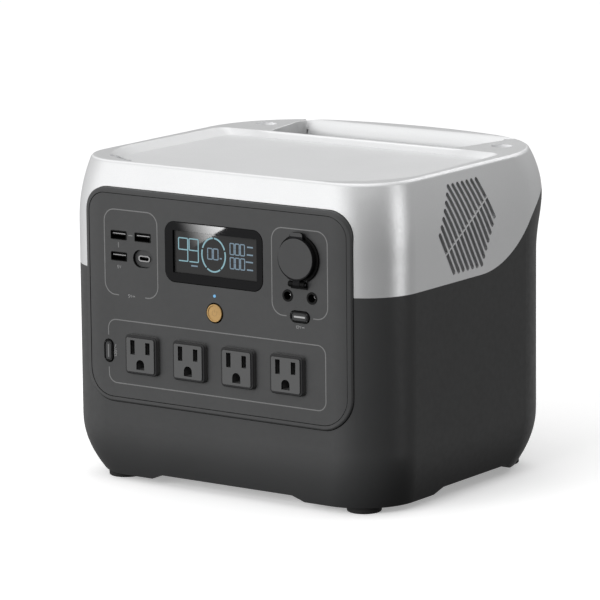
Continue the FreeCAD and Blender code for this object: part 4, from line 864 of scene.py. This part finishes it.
def vent_screen(side, sign):
    """The dust filter as the slots show it: a fine screen just behind the case's side."""
    tree = surface_tree("top_shell")
    clear_y = vent_middle.y - 41 * MM
    clear_z = 153.5 * MM
    behind = 2.7 * MM
    thickness = 0.4 * MM
    steps = 20

    def skin(y, z):
        return tree.ray_cast(Vector((sign * 0.2, y, z)), Vector((-sign, 0, 0)))[0].x

    mesh = bmesh.new()
    layers = []
    for depth in (behind, behind + thickness):
        layer = []
        for i in range(steps + 1):
            y = vent_middle.y + (2 * i / steps - 1) * 37.5 * MM
            bow = skin(y, clear_z) - skin(clear_y, clear_z)
            row = []
            for k in range(steps + 1):
                z = vent_middle.z - 35 * MM + k / steps * 66 * MM
                row.append(mesh.verts.new((skin(clear_y, z) + bow - sign * depth, y, z)))
            layer.append(row)
        layers.append(layer)
    front, back = layers
    for i in range(steps):
        for k in range(steps):
            for layer in layers:
                mesh.faces.new((layer[i][k], layer[i + 1][k], layer[i + 1][k + 1],
                                layer[i][k + 1]))
    rim = [(i, 0) for i in range(steps)] + [(steps, k) for k in range(steps)]
    rim += [(i, steps) for i in range(steps, 0, -1)] + [(0, k) for k in range(steps, 0, -1)]
    for (i, k), (m, n) in zip(rim, rim[1:] + rim[:1]):
        mesh.faces.new((front[i][k], front[m][n], back[m][n], back[i][k]))
    # Painted light: the screen is near white so that the slots in front of it read light grey.
    screen = plastic(f"screen_{side}_mesh", VENT_SCREEN_PAINTED_LIGHT, 0.6, 0.8, specular=0.2,
                     grain=0.0009, depth=0.0001)
    piece = add_piece(f"dust_screen_{side}", mesh, screen, "case")
    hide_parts(f"dust_filter_{side}")


vent_screen("left", -1)
vent_screen("right", 1)


def power_mark():
    """The on/off mark on the main button: an open ring and a bar."""
    low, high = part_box("power_button")
    middle = (low + high) / 2
    dish = low.y + 0.5 * MM
    mesh = bmesh.new()
    ring = []
    for step in range(33):
        angle = math.radians(90 + 38 + (360 - 76) * step / 32)
        ring.append((middle.x + 1.9 * MM * math.cos(angle),
                     middle.z + 1.9 * MM * math.sin(angle)))
    stroke(mesh, ring, 0.35 * MM, dish, 0.04 * MM)
    stroke(mesh, ((middle.x, middle.z + 0.6 * MM), (middle.x, middle.z + 2.3 * MM)), 0.35 * MM,
           dish, 0.04 * MM)
    return mesh


mark = Surface("power_mark_bronze", 0.45, metallic=0.4)
mark.tint(BRONZE_MARK)
mark.rough(0.4, 0.5)
add_piece("power_mark", power_mark(), mark, "power_button")

# ---------------------------------------------------------------- floor


def make_floor():
    """A plain pale floor that takes the object's soft shadow."""
    mesh = bmesh.new()
    half = 6.0
    corners = [mesh.verts.new((x * half, y * half, 0.0))
               for x, y in ((-1, -1), (1, -1), (1, 1), (-1, 1))]
    mesh.faces.new(corners)
    data = bpy.data.meshes.new("floor")
    mesh.to_mesh(data)
    mesh.free()
    floor = bpy.data.objects.new("floor", data)
    bpy.context.scene.collection.objects.link(floor)
    paper = Surface("floor_paper", 0.8, specular=0.0)
    paper.tint(PAPER, drift=0.005, drift_size=0.5, speck=0.0)
    paper.feed(paper.shader.inputs["Base Color"], paper.colour)
    paper.shader.inputs["Emission Color"].default_value = (1.0, 1.0, 1.0, 1.0)
    paper.shader.inputs["Emission Strength"].default_value = 0.32
    data.materials.append(paper.material)
    floor.visible_diffuse = False
    floor.visible_glossy = False


make_floor()

bpy.context.view_layer.update()
